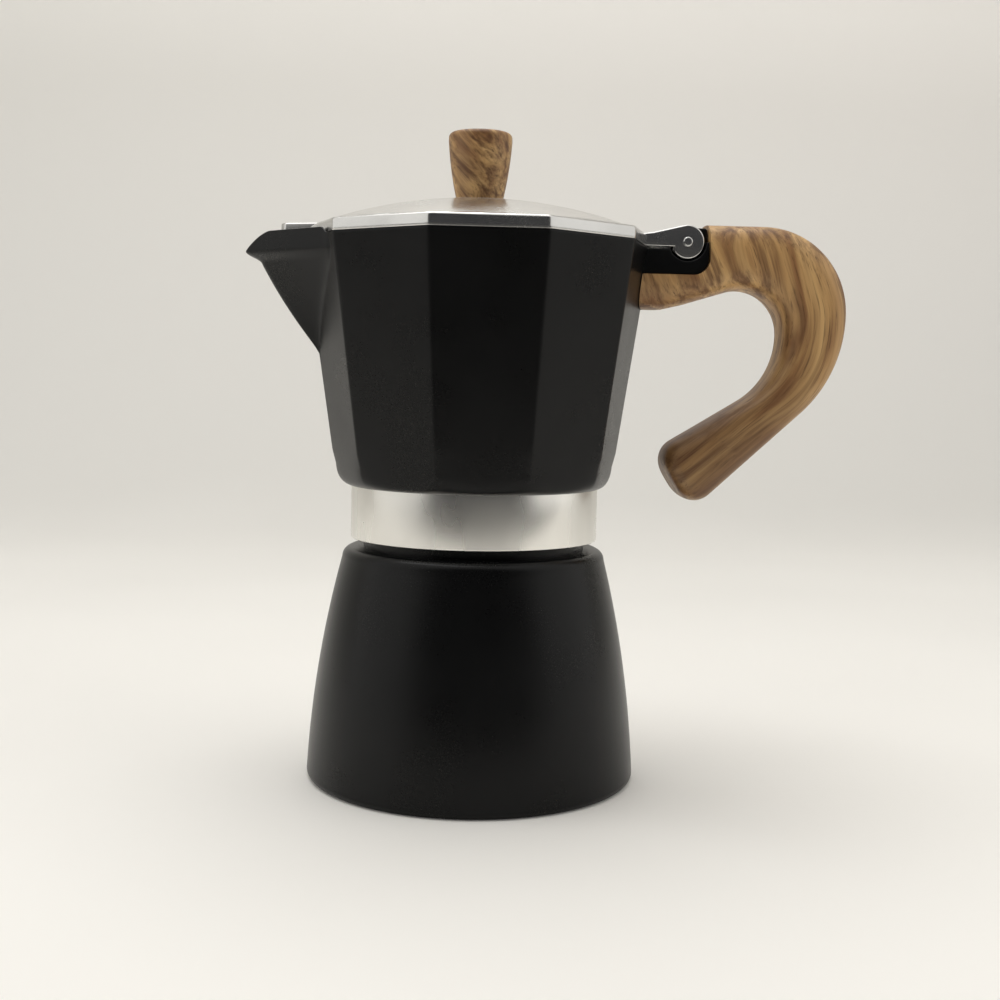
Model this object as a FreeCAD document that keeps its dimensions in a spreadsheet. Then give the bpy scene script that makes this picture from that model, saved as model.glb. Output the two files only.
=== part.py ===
import FreeCAD, Part
import math
import os
import Sketcher

# Stovetop moka pot.  +Z is up, the origin is the centre of the boiler's flat underside, +X points to the
# handle and -X to the spout.  Millimetres.

V = FreeCAD.Vector
FACETS = 10
FACET_ANGLE = 2 * math.pi / FACETS
TINY = 1e-6
NEAR = 0.01
SPRING_TURNS = 5
# A rounding whose walls aren't square needs an arc a little larger than its inset.
OPEN_CORNER = 1.08
# How far a cutter runs past the face that it cuts.
OVERCUT = 1.0
# Rings of perforations: share of the perforated radius, number of holes.
RING_SHARES = ((0.22, 6), (0.43, 12), (0.64, 18), (0.85, 24))

DRIVING_SIZES = [
    # boiler
    ("boiler_radius", 51.3, "outer radius just above the foot"),
    ("boiler_top_radius", 40.9, "outer radius under the shoulder's rounding"),
    ("boiler_height", 72.0, "flat underside to the flat shoulder"),
    ("boiler_crown", 330.0, "radius of the wall's gentle outward curve"),
    ("boiler_wall", 3.0, "side wall"),
    ("boiler_floor", 4.0, "floor"),
    ("foot_round", 2.2, "rounding of the foot edge"),
    ("shoulder_round", 3.2, "rounding of the shoulder edge"),
    ("neck_radius", 34.3, "threaded neck at the thread's root"),
    ("neck_wall", 2.7, "wall of the neck"),
    ("neck_rise", 13.0, "shoulder to the neck's top face"),
    # screw thread between boiler and collector
    ("thread_depth", 0.9, "ridge height of both threads"),
    ("thread_pitch", 3.0, "rise of one turn"),
    ("thread_length", 6.0, "height of each threaded band"),
    ("thread_gap", 0.3, "crest to crest clearance"),
    # safety valve
    ("valve_height", 48.0, "height of the valve's axis"),
    ("valve_boss_radius", 9.5, "boss on the boiler wall"),
    ("valve_boss_stand", 3.9, "boss face beyond the straight line of the wall"),
    ("valve_boss_depth", 5.4, "boss, from its face into the wall"),
    ("valve_shank_radius", 5.0, "threaded shank"),
    ("valve_hex_flats", 15.0, "across flats"),
    ("valve_hex_height", 5.5, "hexagon"),
    ("valve_bore_radius", 3.2, "spring chamber"),
    ("valve_seat_radius", 1.9, "steam port"),
    ("valve_stem_radius", 1.2, "poppet stem"),
    ("valve_stem_reach", 1.6, "stem beyond the hexagon"),
    ("valve_shank_length", 7.2, "boss face to the shank's inner end"),
    ("valve_seat", 1.5, "wall that holds the steam port"),
    ("valve_cap", 1.2, "perforated cap that holds the spring"),
    ("valve_travel", 1.5, "poppet travel"),
    # funnel and filters
    ("funnel_wall", 1.0, "sheet thickness of the funnel"),
    ("basket_depth", 23.0, "rim to the sieve"),
    ("cone_drop", 12.0, "sieve to the top of the stem"),
    ("stem_radius", 6.0, "outer radius of the stem"),
    ("stem_clearance", 8.0, "stem end to the boiler floor"),
    ("plate_thickness", 1.0, "filter plate and sieve"),
    ("plate_radius", 29.5, "filter plate"),
    ("gasket_thickness", 4.0, "gasket"),
    ("gasket_hole", 26.5, "inner radius of the gasket"),
    ("hole_radius", 0.9, "perforations"),
    # collector
    ("collar_radius", 38.33, "bare ring"),
    ("collar_gap", 2.9, "shoulder to the ring's lower edge"),
    ("jug_floor", 3.8, "floor of the jug"),
    ("jug_foot_radius", 42.8, "corner radius of the ten-sided body at its floor"),
    ("jug_rim_radius", 53.66, "corner radius of the ten-sided body at its rim"),
    ("jug_height", 74.4, "underside of the jug's floor to its rim"),
    ("jug_wall", 2.6, "wall of the jug"),
    ("jug_foot_round", 6.6, "rounding at the foot of the facets"),
    ("column_radius", 8.0, "foot of the central column"),
    ("column_top_radius", 5.8, "top of the central column"),
    ("column_height", 53.0, "jug floor to the top of the column"),
    ("column_bore", 3.6, "bore of the column"),
    ("column_cap", 2.5, "solid top over the bore"),
    ("column_round", 3.0, "rounding of the column's top"),
    ("column_fillet", 2.2, "fillet at the column's foot"),
    ("column_slot_drop", 4.5, "top of the column to the top of its slots"),
    ("column_slot_height", 7.5, "slots that let the coffee out"),
    # spout
    ("spout_keel_drop", 34.3, "jug rim to the foot of the keel"),
    ("spout_lip_drop", 4.6, "jug rim to the underside of the lip"),
    ("spout_rise", 1.7, "spout edge above the jug rim"),
    ("spout_neck_reach", 67.5, "axis to the keel under the lip"),
    ("spout_reach", 71.0, "axis to the tip of the lip"),
    ("spout_half_width", 27.5, "half width where the spout leaves the body"),
    ("spout_wall", 2.2, "wall of the spout"),
    ("spout_round", 2.6, "rounding of the keel"),
    ("spout_lip_edge", 0.8, "upright edge at the tip of the lip"),
    ("spout_curl_length", 7.5, "tip of the lip to where its edge runs level"),
    ("spout_curl_radius", 13.8, "hollow of the lip's upper edge"),
    # hinge
    ("hinge_reach", 63.4, "axis of the pot to the hinge pin"),
    ("hinge_rise", 1.9, "jug rim to the hinge pin"),
    ("pin_radius", 1.5, "hinge pin"),
    ("pin_gap", 0.05, "running clearance on the pin"),
    ("pin_dome", 0.4, "domed end of the pin"),
    ("ear_radius", 5.2, "round end of a hinge ear"),
    ("ear_thickness", 3.2, "one hinge ear"),
    ("knuckle_half_width", 5.5, "half width of the middle knuckle"),
    ("hinge_gap", 0.3, "side clearance of the ears"),
    ("lug_drop", 8.1, "jug rim to the underside of the lug"),
    ("lug_overhang", 6.8, "hinge pin to the lug's outer face"),
    ("lug_round", 5.0, "rounding of the lug's lower corner"),
    # lid
    ("lid_rim", 3.9, "height of the lid's ten-sided rim"),
    ("lid_dome", 9.4, "rise of the dome above the rim"),
    ("lid_dome_radius", 50.5, "foot of the dome"),
    ("lid_wall", 1.8, "wall of the lid"),
    ("tongue_reach", 60.0, "axis to the end of the tongue over the spout"),
    ("tongue_thickness", 2.6, "tongue"),
    ("tongue_half_width", 10.0, "half width of the tongue at its root"),
    ("tongue_corner", 1.5, "chamfer at the end of the tongue"),
    # knob
    ("knob_height", 21.2, "knob"),
    ("knob_foot_radius", 7.5, "foot of the knob"),
    ("knob_waist_radius", 7.2, "narrowest part"),
    ("knob_waist_rise", 3.0, "foot of the knob to its narrowest part"),
    ("knob_top_radius", 9.75, "widest part"),
    ("knob_foot_edge", 0.5, "upright edge of the knob's foot"),
    ("knob_top_round", 1.9, "rounding of the knob's top edge"),
    ("knob_crown", 0.3, "rise of the knob's top face"),
    ("knob_screw_radius", 2.0, "shank of the knob screw"),
    ("knob_washer_radius", 6.0, "washer under the lid"),
    # handle
    ("handle_reach", 115.3, "axis of the pot to the back of the grip"),
    ("handle_rise", 7.8, "jug rim to the top of the handle"),
    ("handle_width", 20.0, "across the grip"),
    ("handle_edge_round", 6.5, "rounding along the grip"),
    ("handle_band_drop", 18.5, "jug rim to the underside of the handle's foot"),
    ("handle_root_inset", 7.5, "corner of the jug's rim to the inner end of the blank"),
    ("grip_thickness", 20.7, "back of the grip to its finger side"),
    ("grip_turn_drop", 19.1, "underside of the foot to where the back turns in"),
    ("finger_turn_drop", 20.9, "underside of the foot to where the finger side turns in"),
    ("finger_rise", 11.2, "underside of the foot to the top of the finger gap"),
    ("heel_inset", 47.9, "back of the grip to the outer corner of its tail"),
    ("toe_inset", 59.4, "back of the grip to the inner corner of its tail"),
    ("foot_bend_round", 25.0, "bend from the foot into the finger gap"),
    ("finger_top_round", 13.4, "top of the finger gap"),
    ("finger_low_round", 24.0, "bend of the finger side"),
    ("tail_round", 6.8, "corners of the tail"),
    ("back_low_round", 41.6, "bend of the back"),
    ("back_high_round", 26.6, "bend from the top into the back"),
    ("handle_screw_cover", 4.0, "depth that the screw's head is sunk"),
    ("handle_screw_head", 3.4, "head of the handle screw"),
    ("handle_screw_radius", 2.0, "shank of the handle screw"),
    ("handle_screw_reach", 60.5, "axis of the pot to the handle screw"),
    ("part_gap", 0.3, "clearance between a casting and what is fitted against it"),
]


class Size:
    """A length that carries its value and the sheet expression that gives it."""

    def __init__(self, value, text):
        self.value = value
        self.text = text

    def combine(self, other, sign, result):
        text = other.text if isinstance(other, Size) else repr(other)
        return Size(result, "(" + self.text + sign + text + ")")

    def __add__(self, other):
        return self.combine(other, " + ", self.value + plain(other))

    def __sub__(self, other):
        return self.combine(other, " - ", self.value - plain(other))

    def __mul__(self, other):
        return self.combine(other, " * ", self.value * plain(other))

    def __truediv__(self, other):
        return self.combine(other, " / ", self.value / plain(other))

    def __neg__(self):
        return self * -1.0


def plain(size):
    return size.value if isinstance(size, Size) else size


ZERO = Size(0.0, "0")

doc = FreeCAD.newDocument("moka_pot")
sheet = doc.addObject("Spreadsheet::Sheet", "Sizes")


class Sizes:
    """The driving dimensions by name."""


d = Sizes()
for row, (alias, value, note) in enumerate(DRIVING_SIZES, start=1):
    sheet.set("A%d" % row, alias)
    sheet.set("B%d" % row, str(value))
    sheet.set("C%d" % row, note)
    sheet.setAlias("B%d" % row, alias)
    setattr(d, alias, Size(value, "Sizes." + alias))
doc.recompute()

# Levels shared by several pieces, from the ground up.
neck_top = d.boiler_height + d.neck_rise
basket_top = neck_top + d.funnel_wall
gasket_top = basket_top + d.gasket_thickness
plate_top = gasket_top + d.plate_thickness
jug_inside = plate_top + d.jug_floor
jug_rim = plate_top + d.jug_height
collar_bottom = d.boiler_height + d.collar_gap
hinge_level = jug_rim + d.hinge_rise
lid_rim_top = jug_rim + d.lid_rim
lid_seat = lid_rim_top + d.lid_dome - 0.25
neck_bore = d.neck_radius - d.neck_wall
collar_bore = d.neck_radius + d.thread_depth * 2.0 + d.thread_gap
gasket_radius = collar_bore - d.thread_depth - d.thread_gap * 2.0
lug_bottom = jug_rim - d.lug_drop
lug_reach = d.hinge_reach + d.lug_overhang
wall_at_valve = d.boiler_radius - (d.boiler_radius - d.boiler_top_radius) * d.valve_height / d.boiler_height
valve_boss_reach = wall_at_valve + d.valve_boss_stand
ear_inside = d.knuckle_half_width + d.hinge_gap
ear_outside = ear_inside + d.ear_thickness


def new_body(label):
    body = doc.addObject("PartDesign::Body", label)
    body.Label = label
    return body


def new_sketch(body, name, role):
    """Sketch on one of the body's own origin planes."""
    plane = [part for part in body.Origin.OriginFeatures if part.Role == role][0]
    sketch = body.newObject("Sketcher::SketchObject", body.Label + "_" + name)
    sketch.AttachmentSupport = [(plane, "")]
    sketch.MapMode = "FlatFace"
    return sketch


def hold(sketch, kind, *where_and_size):
    """Add one dimension and bind it to the sheet."""
    *where, size = where_and_size
    index = sketch.addConstraint(Sketcher.Constraint(kind, *where, size.value))
    sketch.setExpression("Constraints[%d]" % index, size.text)


def hold_point(sketch, geometry, end, across, up):
    """Fix a point of the sketch at (across, up) from the origin."""
    for kind, size, axis in (("DistanceX", across, -2), ("DistanceY", up, -1)):
        if abs(size.value) < TINY:
            sketch.addConstraint(Sketcher.Constraint("PointOnObject", geometry, end, axis))
        else:
            hold(sketch, kind, geometry, end, size)


def arc_middle(start, end, radius, side):
    """Middle of the short arc from start to end, bulging to the left (side 1) or right (side -1)."""
    chord = end - start
    half = chord.Length / 2
    sagitta = radius - math.sqrt(radius * radius - half * half)
    left = V(-chord.y, chord.x, 0).normalize()
    return (start + end) * 0.5 + left * (side * sagitta)


def add_outline(sketch, corners):
    """Closed outline.  A corner is (across, up) or (across, up, radius, side): the last two make the edge
    that leaves it an arc that bulges to the left or right of the way."""
    points = [V(plain(corner[0]), plain(corner[1]), 0) for corner in corners]
    count = len(corners)
    first = sketch.GeometryCount
    for index, corner in enumerate(corners):
        start = points[index]
        end = points[(index + 1) % count]
        if len(corner) == 4:
            middle = arc_middle(start, end, plain(corner[2]), corner[3])
            sketch.addGeometry(Part.Arc(start, middle, end))
            hold(sketch, "Radius", first + index, corner[2])
        else:
            sketch.addGeometry(Part.LineSegment(start, end))

    def end_at(geometry, point):
        ends = (1, 2)
        return min(ends, key=lambda end: sketch.getPoint(geometry, end).distanceToPoint(point))

    for index, corner in enumerate(corners):
        here = first + index
        before = first + (index - 1) % count
        start = end_at(here, points[index])
        end = end_at(before, points[index])
        sketch.addConstraint(Sketcher.Constraint("Coincident", before, end, here, start))
        hold_point(sketch, here, start, corner[0], corner[1])


def outline(body, name, role, corners):
    sketch = new_sketch(body, name, role)
    add_outline(sketch, corners)
    return sketch


def circles(body, name, role, items):
    """Circles given as (across, up, radius)."""
    sketch = new_sketch(body, name, role)
    for index, (across, up, radius) in enumerate(items):
        centre = V(plain(across), plain(up), 0)
        sketch.addGeometry(Part.Circle(centre, V(0, 0, 1), radius.value))
        hold(sketch, "Radius", index, radius)
        hold_point(sketch, index, 3, across, up)
    return sketch


def disc(radius, low, high):
    """Half section of a plain disc or of a round hole."""
    return [(ZERO, low), (radius, low), (radius, high), (ZERO, high)]


def washer_outline(inner, outer, low, high):
    """Half section of a flat ring."""
    return [(inner, low), (outer, low), (outer, high), (inner, high)]


def facet_corners(radius):
    """Corners of the ten-sided outline, one of them on +X."""
    return [(radius * math.cos(k * FACET_ANGLE), radius * math.sin(k * FACET_ANGLE)) for k in range(FACETS)]


def raise_sketch(sketch, level):
    """Lift a flat sketch along its own normal."""
    sketch.setExpression("AttachmentOffset.Base.z", level.text)


def feature(body, kind, name, sketch):
    made = body.newObject("PartDesign::" + kind, body.Label + "_" + name)
    made.Profile = sketch
    return made


def turned(body, name, corners, kind="Revolution"):
    """Solid of revolution about Z, added to or cut from the body."""
    sketch = outline(body, name + "_outline", "XZ_Plane", corners)
    made = feature(body, kind, name, sketch)
    made.ReferenceAxis = (sketch, ["V_Axis"])
    made.Angle = 360
    return checked(body, made, kind == "Revolution")


def padded(body, name, sketch, length, both_ways=False, kind="Pad", reverse=False):
    made = feature(body, kind, name, sketch)
    made.setExpression("Length", length.text)
    made.Midplane = both_ways
    made.Reversed = reverse
    return checked(body, made, kind == "Pad")


def lofted(body, name, sections, kind="AdditiveLoft"):
    """Straight-sided loft through (corners, level) sections."""
    sketches = []
    for index, (corners, level) in enumerate(sections):
        sketch = outline(body, "%s_section_%d" % (name, index), "XY_Plane", corners)
        raise_sketch(sketch, level)
        sketches.append(sketch)
    made = feature(body, kind, name, sketches[0])
    made.Sections = [(sketch, [""]) for sketch in sketches[1:]]
    made.Ruled = True
    return checked(body, made, kind == "AdditiveLoft")


def volume_of(body):
    return body.Shape.Volume if body.Shape and not body.Shape.isNull() else 0.0


def checked(body, made, adds):
    """Recompute and make sure that the feature really added or removed material."""
    before = checked.volume.get(body.Label, 0.0)
    doc.recompute()
    after = volume_of(body)
    gained = after - before
    if (adds and gained < TINY) or (not adds and gained > -TINY):
        raise RuntimeError("%s changed the volume by %.4f" % (made.Name, gained))
    checked.volume[body.Label] = after
    return made


checked.volume = {}


def rounded(body, name, edges, radius):
    """Fillet of the named edges of the body as it stands."""
    base = body.Tip
    made = body.newObject("PartDesign::Fillet", body.Label + "_" + name)
    made.Base = (base, edges)
    made.setExpression("Radius", radius.text)
    doc.recompute()
    if "Invalid" in made.State:
        raise RuntimeError("%s failed on %s" % (made.Name, edges))
    checked.volume[body.Label] = volume_of(body)
    return made


def driver_slot(screw, head_radius, head_low, depth):
    """Straight slot across the head of a screw that is driven from below."""
    half = head_radius / 6.0
    cut = outline(screw, "slot", "XZ_Plane", [
        (-half, head_low - OVERCUT),
        (half, head_low - OVERCUT),
        (half, head_low + depth),
        (-half, head_low + depth),
    ])
    padded(screw, "driver_slot", cut, head_radius * 3.0, both_ways=True, kind="Pocket")


def edges_where(body, test):
    """Names of the body's edges whose middle point and bounding box pass the test."""
    names = []
    for index, edge in enumerate(body.Shape.Edges, start=1):
        middle = edge.valueAt((edge.FirstParameter + edge.LastParameter) / 2)
        if test(middle, edge.BoundBox):
            names.append("Edge%d" % index)
    return names


def ring_of_holes(body, name, level, depth, rings):
    """Concentric rings of round holes, each ring a polar pattern of one hole."""
    for index, (radius, count) in enumerate(rings):
        sketch = circles(body, "%s_%d" % (name, index), "XY_Plane", [(radius, ZERO, d.hole_radius)])
        raise_sketch(sketch, level)
        hole = padded(body, "%s_hole_%d" % (name, index), sketch, depth, both_ways=True, kind="Pocket")
        pattern = body.newObject("PartDesign::PolarPattern", "%s_%s_ring_%d" % (body.Label, name, index))
        pattern.Originals = [hole]
        pattern.Axis = (sketch, ["N_Axis"])
        pattern.Angle = 360
        pattern.Occurrences = count
        body.Tip = pattern
        checked(body, pattern, False)


def thread_ridge(body, name, root, inward, start_level):
    """Trapezoid ridge that winds round the Z axis as a right-hand helix."""
    side = -1.0 if inward else 1.0
    base = root - d.thread_depth * (0.3 * side)
    crest = root + d.thread_depth * side
    low = start_level
    corners = [
        (base, low),
        (base, low + d.thread_pitch * 0.60),
        (crest, low + d.thread_pitch * 0.42),
        (crest, low + d.thread_pitch * 0.18),
    ]
    sketch = outline(body, name + "_outline", "XZ_Plane", corners)
    ridge = feature(body, "AdditiveHelix", name, sketch)
    ridge.ReferenceAxis = (sketch, ["V_Axis"])
    ridge.Mode = "pitch-height-angle"
    ridge.setExpression("Pitch", d.thread_pitch.text)
    ridge.setExpression("Height", d.thread_length.text)
    ridge.LeftHanded = False
    ridge.Reversed = False
    return checked(body, ridge, True)


def place(body, offset, axis=V(0, 0, 1), angle=0.0):
    """Set the body's Placement; its offset stays bound to the sheet."""
    body.Placement = FreeCAD.Placement(V(*[plain(size) for size in offset]), FreeCAD.Rotation(axis, angle))
    for letter, size in zip("xyz", offset):
        body.setExpression("Placement.Base." + letter, size.text)


# ---------------------------------------------------------------- boiler

def make_boiler():
    """Turned vessel: flat foot, gently crowned wall, rounded shoulder and threaded neck."""
    body = new_body("boiler")
    wall = d.boiler_wall
    foot = d.foot_round
    shoulder = d.shoulder_round
    inner_top = d.boiler_height - wall
    corners = [
        (ZERO, ZERO),
        (d.boiler_radius - foot, ZERO, foot * OPEN_CORNER, -1),
        (d.boiler_radius, foot, d.boiler_crown, -1),
        (d.boiler_top_radius, d.boiler_height - shoulder, shoulder * OPEN_CORNER, -1),
        (d.boiler_top_radius - shoulder, d.boiler_height),
        (d.neck_radius, d.boiler_height),
        (d.neck_radius, neck_top),
        (neck_bore, neck_top),
        (neck_bore, inner_top),
        (d.boiler_top_radius - wall, inner_top - shoulder, d.boiler_crown, 1),
        (d.boiler_radius - wall, d.boiler_floor + foot),
        (d.boiler_radius - wall - foot, d.boiler_floor),
        (ZERO, d.boiler_floor),
    ]
    turned(body, "vessel", corners)
    boss = circles(body, "boss", "XZ_Plane", [(ZERO, d.valve_height, d.valve_boss_radius)])
    boss.setExpression("AttachmentOffset.Base.z", (-valve_boss_reach).text)
    padded(body, "valve_boss", boss, d.valve_boss_depth)
    port = circles(body, "port", "XZ_Plane", [(ZERO, d.valve_height, d.valve_shank_radius)])
    port.setExpression("AttachmentOffset.Base.z", (-valve_boss_reach).text)
    padded(body, "valve_port", port, d.valve_boss_depth * 4.0, both_ways=True, kind="Pocket")
    ridge_start = neck_top - d.thread_length - d.thread_pitch * 0.8
    thread_ridge(body, "neck_thread", d.neck_radius, False, ridge_start)
    return body


# ---------------------------------------------------------------- safety valve

def hexagon(flats):
    corner = flats / math.sqrt(3.0)
    return [(corner * math.cos(k * math.pi / 3), corner * math.sin(k * math.pi / 3)) for k in range(6)]


def make_valve():
    """Valve along its own Z axis, outward; each piece is placed on the boss with the axis along +Y."""
    washer = d.plate_thickness
    hex_top = washer + d.valve_hex_height
    inner_end = -d.valve_shank_length
    seat = inner_end + d.valve_seat
    seal_top = seat + d.valve_travel
    head_top = seal_top + d.valve_travel
    cap_low = hex_top - d.valve_cap
    poppet_radius = d.valve_bore_radius - d.part_gap
    ring_hole = d.valve_stem_radius + d.pin_gap * 2.0

    def onto_boss(body):
        place(body, (ZERO, valve_boss_reach, d.valve_height), V(1, 0, 0), -90.0)

    shell = new_body("valve_body")
    hexagon_sketch = outline(shell, "hexagon", "XY_Plane", hexagon(d.valve_hex_flats))
    raise_sketch(hexagon_sketch, washer)
    padded(shell, "hex", hexagon_sketch, d.valve_hex_height)
    shank = circles(shell, "shank", "XY_Plane", [(ZERO, ZERO, d.valve_shank_radius - d.pin_gap)])
    raise_sketch(shank, inner_end)
    padded(shell, "shank_pad", shank, d.valve_shank_length + washer + d.valve_hex_height / 2.0)
    turned(shell, "chamber", disc(d.valve_bore_radius, seat, hex_top + OVERCUT), kind="Groove")
    turned(shell, "steam_port", disc(d.valve_seat_radius, inner_end - OVERCUT, seat + OVERCUT), kind="Groove")

    ring = new_body("valve_washer")
    turned(ring, "ring", washer_outline(d.valve_shank_radius, d.valve_boss_radius - OVERCUT, ZERO, washer))

    seal = new_body("valve_seal")
    turned(seal, "disc", disc(poppet_radius, seat, seal_top))

    poppet = new_body("valve_poppet")
    stem_end = hex_top + d.valve_stem_reach
    nose = d.valve_stem_radius * 0.3
    turned(poppet, "stem", [
        (ZERO, seal_top),
        (poppet_radius, seal_top),
        (poppet_radius, head_top),
        (d.valve_stem_radius, head_top),
        (d.valve_stem_radius, stem_end - nose),
        (d.valve_stem_radius - nose, stem_end),
        (ZERO, stem_end),
    ])

    cap = new_body("valve_cap")
    turned(cap, "ring", washer_outline(ring_hole, d.valve_bore_radius - d.pin_gap, cap_low, hex_top))

    spring = new_body("valve_spring")
    wire = d.valve_stem_radius * 0.3
    coil = (d.valve_stem_radius + d.valve_bore_radius) / 2.0
    start = head_top + wire + d.pin_gap
    section = circles(spring, "wire", "XZ_Plane", [(coil, start, wire)])
    turns = feature(spring, "AdditiveHelix", "coil", section)
    turns.ReferenceAxis = (section, ["V_Axis"])
    turns.Mode = "height-turns-angle"
    turns.setExpression("Height", (cap_low - start - wire - d.pin_gap - d.valve_travel).text)
    turns.Turns = SPRING_TURNS
    checked(spring, turns, True)

    pieces = [shell, ring, seal, poppet, cap, spring]
    for piece in pieces:
        onto_boss(piece)
    return pieces


# ---------------------------------------------------------------- funnel and filters

basket_radius = neck_bore - d.part_gap
sieve_level = basket_top - d.basket_depth
stem_top = sieve_level - d.cone_drop
stem_bottom = d.boiler_floor + d.stem_clearance


def make_funnel():
    """Drawn basket with a flange that rests on the neck, a cone and a straight stem."""
    body = new_body("funnel")
    wall = d.funnel_wall
    step = wall * 1.5
    corners = [
        (d.stem_radius - wall, stem_bottom),
        (d.stem_radius, stem_bottom),
        (d.stem_radius, stem_top),
        (basket_radius, sieve_level - step),
        (basket_radius, neck_top),
        (d.neck_radius - d.part_gap, neck_top),
        (d.neck_radius - d.part_gap, basket_top),
        (basket_radius - wall, basket_top),
        (basket_radius - wall, sieve_level - d.plate_thickness),
        (basket_radius - wall * 2.2, sieve_level - d.plate_thickness),
        (d.stem_radius - wall, stem_top + wall * 0.6),
    ]
    turned(body, "sheet", corners)

    sieve = new_body("funnel_sieve")
    radius = basket_radius - wall - d.part_gap / 3.0
    turned(sieve, "disc", disc(radius, sieve_level - d.plate_thickness, sieve_level))
    rings = [(radius * share, count) for share, count in RING_SHARES]
    ring_of_holes(sieve, "sieve", sieve_level, d.plate_thickness * 4.0, rings)
    return [body, sieve]


def make_filter():
    """Gasket on the funnel's flange and the perforated plate that it holds under the jug."""
    gasket = new_body("gasket")
    turned(gasket, "ring", washer_outline(d.gasket_hole, gasket_radius, basket_top, gasket_top))
    plate = new_body("filter_plate")
    turned(plate, "disc", disc(d.plate_radius, gasket_top, plate_top))
    rings = [(d.gasket_hole * share, count) for share, count in RING_SHARES]
    ring_of_holes(plate, "plate", plate_top, d.plate_thickness * 4.0, rings)
    return [gasket, plate]


# ---------------------------------------------------------------- collector

jug_slope = (d.jug_rim_radius - d.jug_foot_radius) / d.jug_height


def jug_corner_radius(level):
    """Corner radius of the ten-sided body at a level."""
    return d.jug_foot_radius + jug_slope * (level - plate_top)


def spout_plan(root, half_width, neck, tip_half):
    """Plan of the spout: from inside the jug out to its blunt edge."""
    back = -(root * 0.72)
    return [
        (back, half_width * -0.7),
        (back, half_width * 0.7),
        (-(root * 0.83), half_width),
        (-neck, tip_half),
        (-neck, -tip_half),
        (-(root * 0.83), -half_width),
    ]


def make_collector():
    """One casting: collar ring, ten-sided jug, spout, central column and hinge lug."""
    body = new_body("collector")
    lofted(body, "jug", [
        (facet_corners(d.jug_foot_radius), plate_top),
        (facet_corners(d.jug_rim_radius), jug_rim),
    ])
    foot_inside = d.collar_radius - OVERCUT
    foot_top = plate_top + d.jug_foot_round
    turned(body, "foot_rounding", [
        (foot_inside, plate_top - OVERCUT),
        (foot_inside, plate_top, d.jug_foot_round * OPEN_CORNER, -1),
        (jug_corner_radius(foot_top), foot_top),
        (d.jug_rim_radius, foot_top),
        (d.jug_rim_radius, plate_top - OVERCUT),
    ], kind="Groove")
    collar_edge = d.part_gap * 2.0
    turned(body, "collar", [
        (ZERO, collar_bottom),
        (d.collar_radius - collar_edge, collar_bottom),
        (d.collar_radius, collar_bottom + collar_edge),
        (d.collar_radius, plate_top + d.jug_floor / 2.0),
        (ZERO, plate_top + d.jug_floor / 2.0),
    ])
    make_spout_outside(body)
    make_lug(body)
    lofted(body, "inside", [
        (facet_corners(d.jug_foot_radius + jug_slope * d.jug_floor - d.jug_wall), jug_inside),
        (facet_corners(d.jug_rim_radius + jug_slope * OVERCUT - d.jug_wall), jug_rim + OVERCUT),
    ], kind="SubtractiveLoft")
    make_spout_inside(body)
    make_column(body)
    turned(body, "collar_bore", disc(collar_bore, collar_bottom - OVERCUT, plate_top), kind="Groove")
    column_top = jug_inside + d.column_height
    mouth_radius = d.gasket_hole - OVERCUT
    mouth_top = plate_top + d.jug_floor / 4.0
    turned(body, "column_bore", [
        (ZERO, plate_top - OVERCUT),
        (mouth_radius, plate_top - OVERCUT),
        (mouth_radius, mouth_top),
        (d.column_bore * 1.5, mouth_top + d.part_gap * 3.0),
        (d.column_bore, jug_inside + d.column_height / 5.0),
        (d.column_bore, column_top - d.column_cap * 1.6),
        (ZERO, column_top - d.column_cap),
    ], kind="Groove")
    slot_top = column_top - d.column_slot_drop
    slot_low = slot_top - d.column_slot_height
    slot_half = d.column_bore * 0.45
    slots = outline(body, "slots", "XZ_Plane", [
        (-slot_half, slot_low),
        (slot_half, slot_low),
        (slot_half, slot_top),
        (-slot_half, slot_top),
    ])
    padded(body, "column_slots", slots, d.column_radius * 3.0, both_ways=True, kind="Pocket")
    thread_ridge(body, "collar_thread", collar_bore, True, collar_bottom + d.thread_pitch * 0.6)
    return body


def make_spout_outside(body):
    """Wedge that grows from the body, then a lip that curls out to the tip."""
    foot = jug_rim - d.spout_keel_drop
    lip = jug_rim - d.spout_lip_drop
    top = jug_rim + d.spout_rise
    foot_root = jug_corner_radius(foot)
    tip_half = d.spout_round
    lofted(body, "spout_wedge", [
        (spout_plan(foot_root, tip_half * 0.9, foot_root - tip_half * 0.25, tip_half * 0.4), foot),
        (spout_plan(d.jug_rim_radius, d.spout_half_width, d.spout_neck_reach, tip_half), lip),
    ])
    plan = outline(body, "lip_plan", "XY_Plane",
                   spout_plan(d.jug_rim_radius, d.spout_half_width, d.spout_reach, tip_half))
    raise_sketch(plan, lip)
    padded(body, "spout_lip", plan, d.spout_lip_drop + d.spout_rise)
    beyond = d.spout_reach + OVERCUT
    lip_edge = lip + d.spout_lip_edge
    level_start = d.spout_reach - d.spout_curl_length
    curl = outline(body, "curl", "XZ_Plane", [
        (-beyond, lip_edge),
        (-d.spout_reach, lip_edge, d.spout_curl_radius, 1),
        (-level_start, top),
        (-level_start, top + OVERCUT),
        (-beyond, top + OVERCUT),
    ])
    padded(body, "spout_curl", curl, d.handle_width * 2.0, both_ways=True, kind="Pocket")
    seat = outline(body, "lid_seat", "XY_Plane", facet_corners(d.jug_rim_radius + d.part_gap * 1.5))
    raise_sketch(seat, jug_rim)
    padded(body, "lid_seat_cut", seat, d.spout_rise * 2.0, kind="Pocket", reverse=True)


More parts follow.
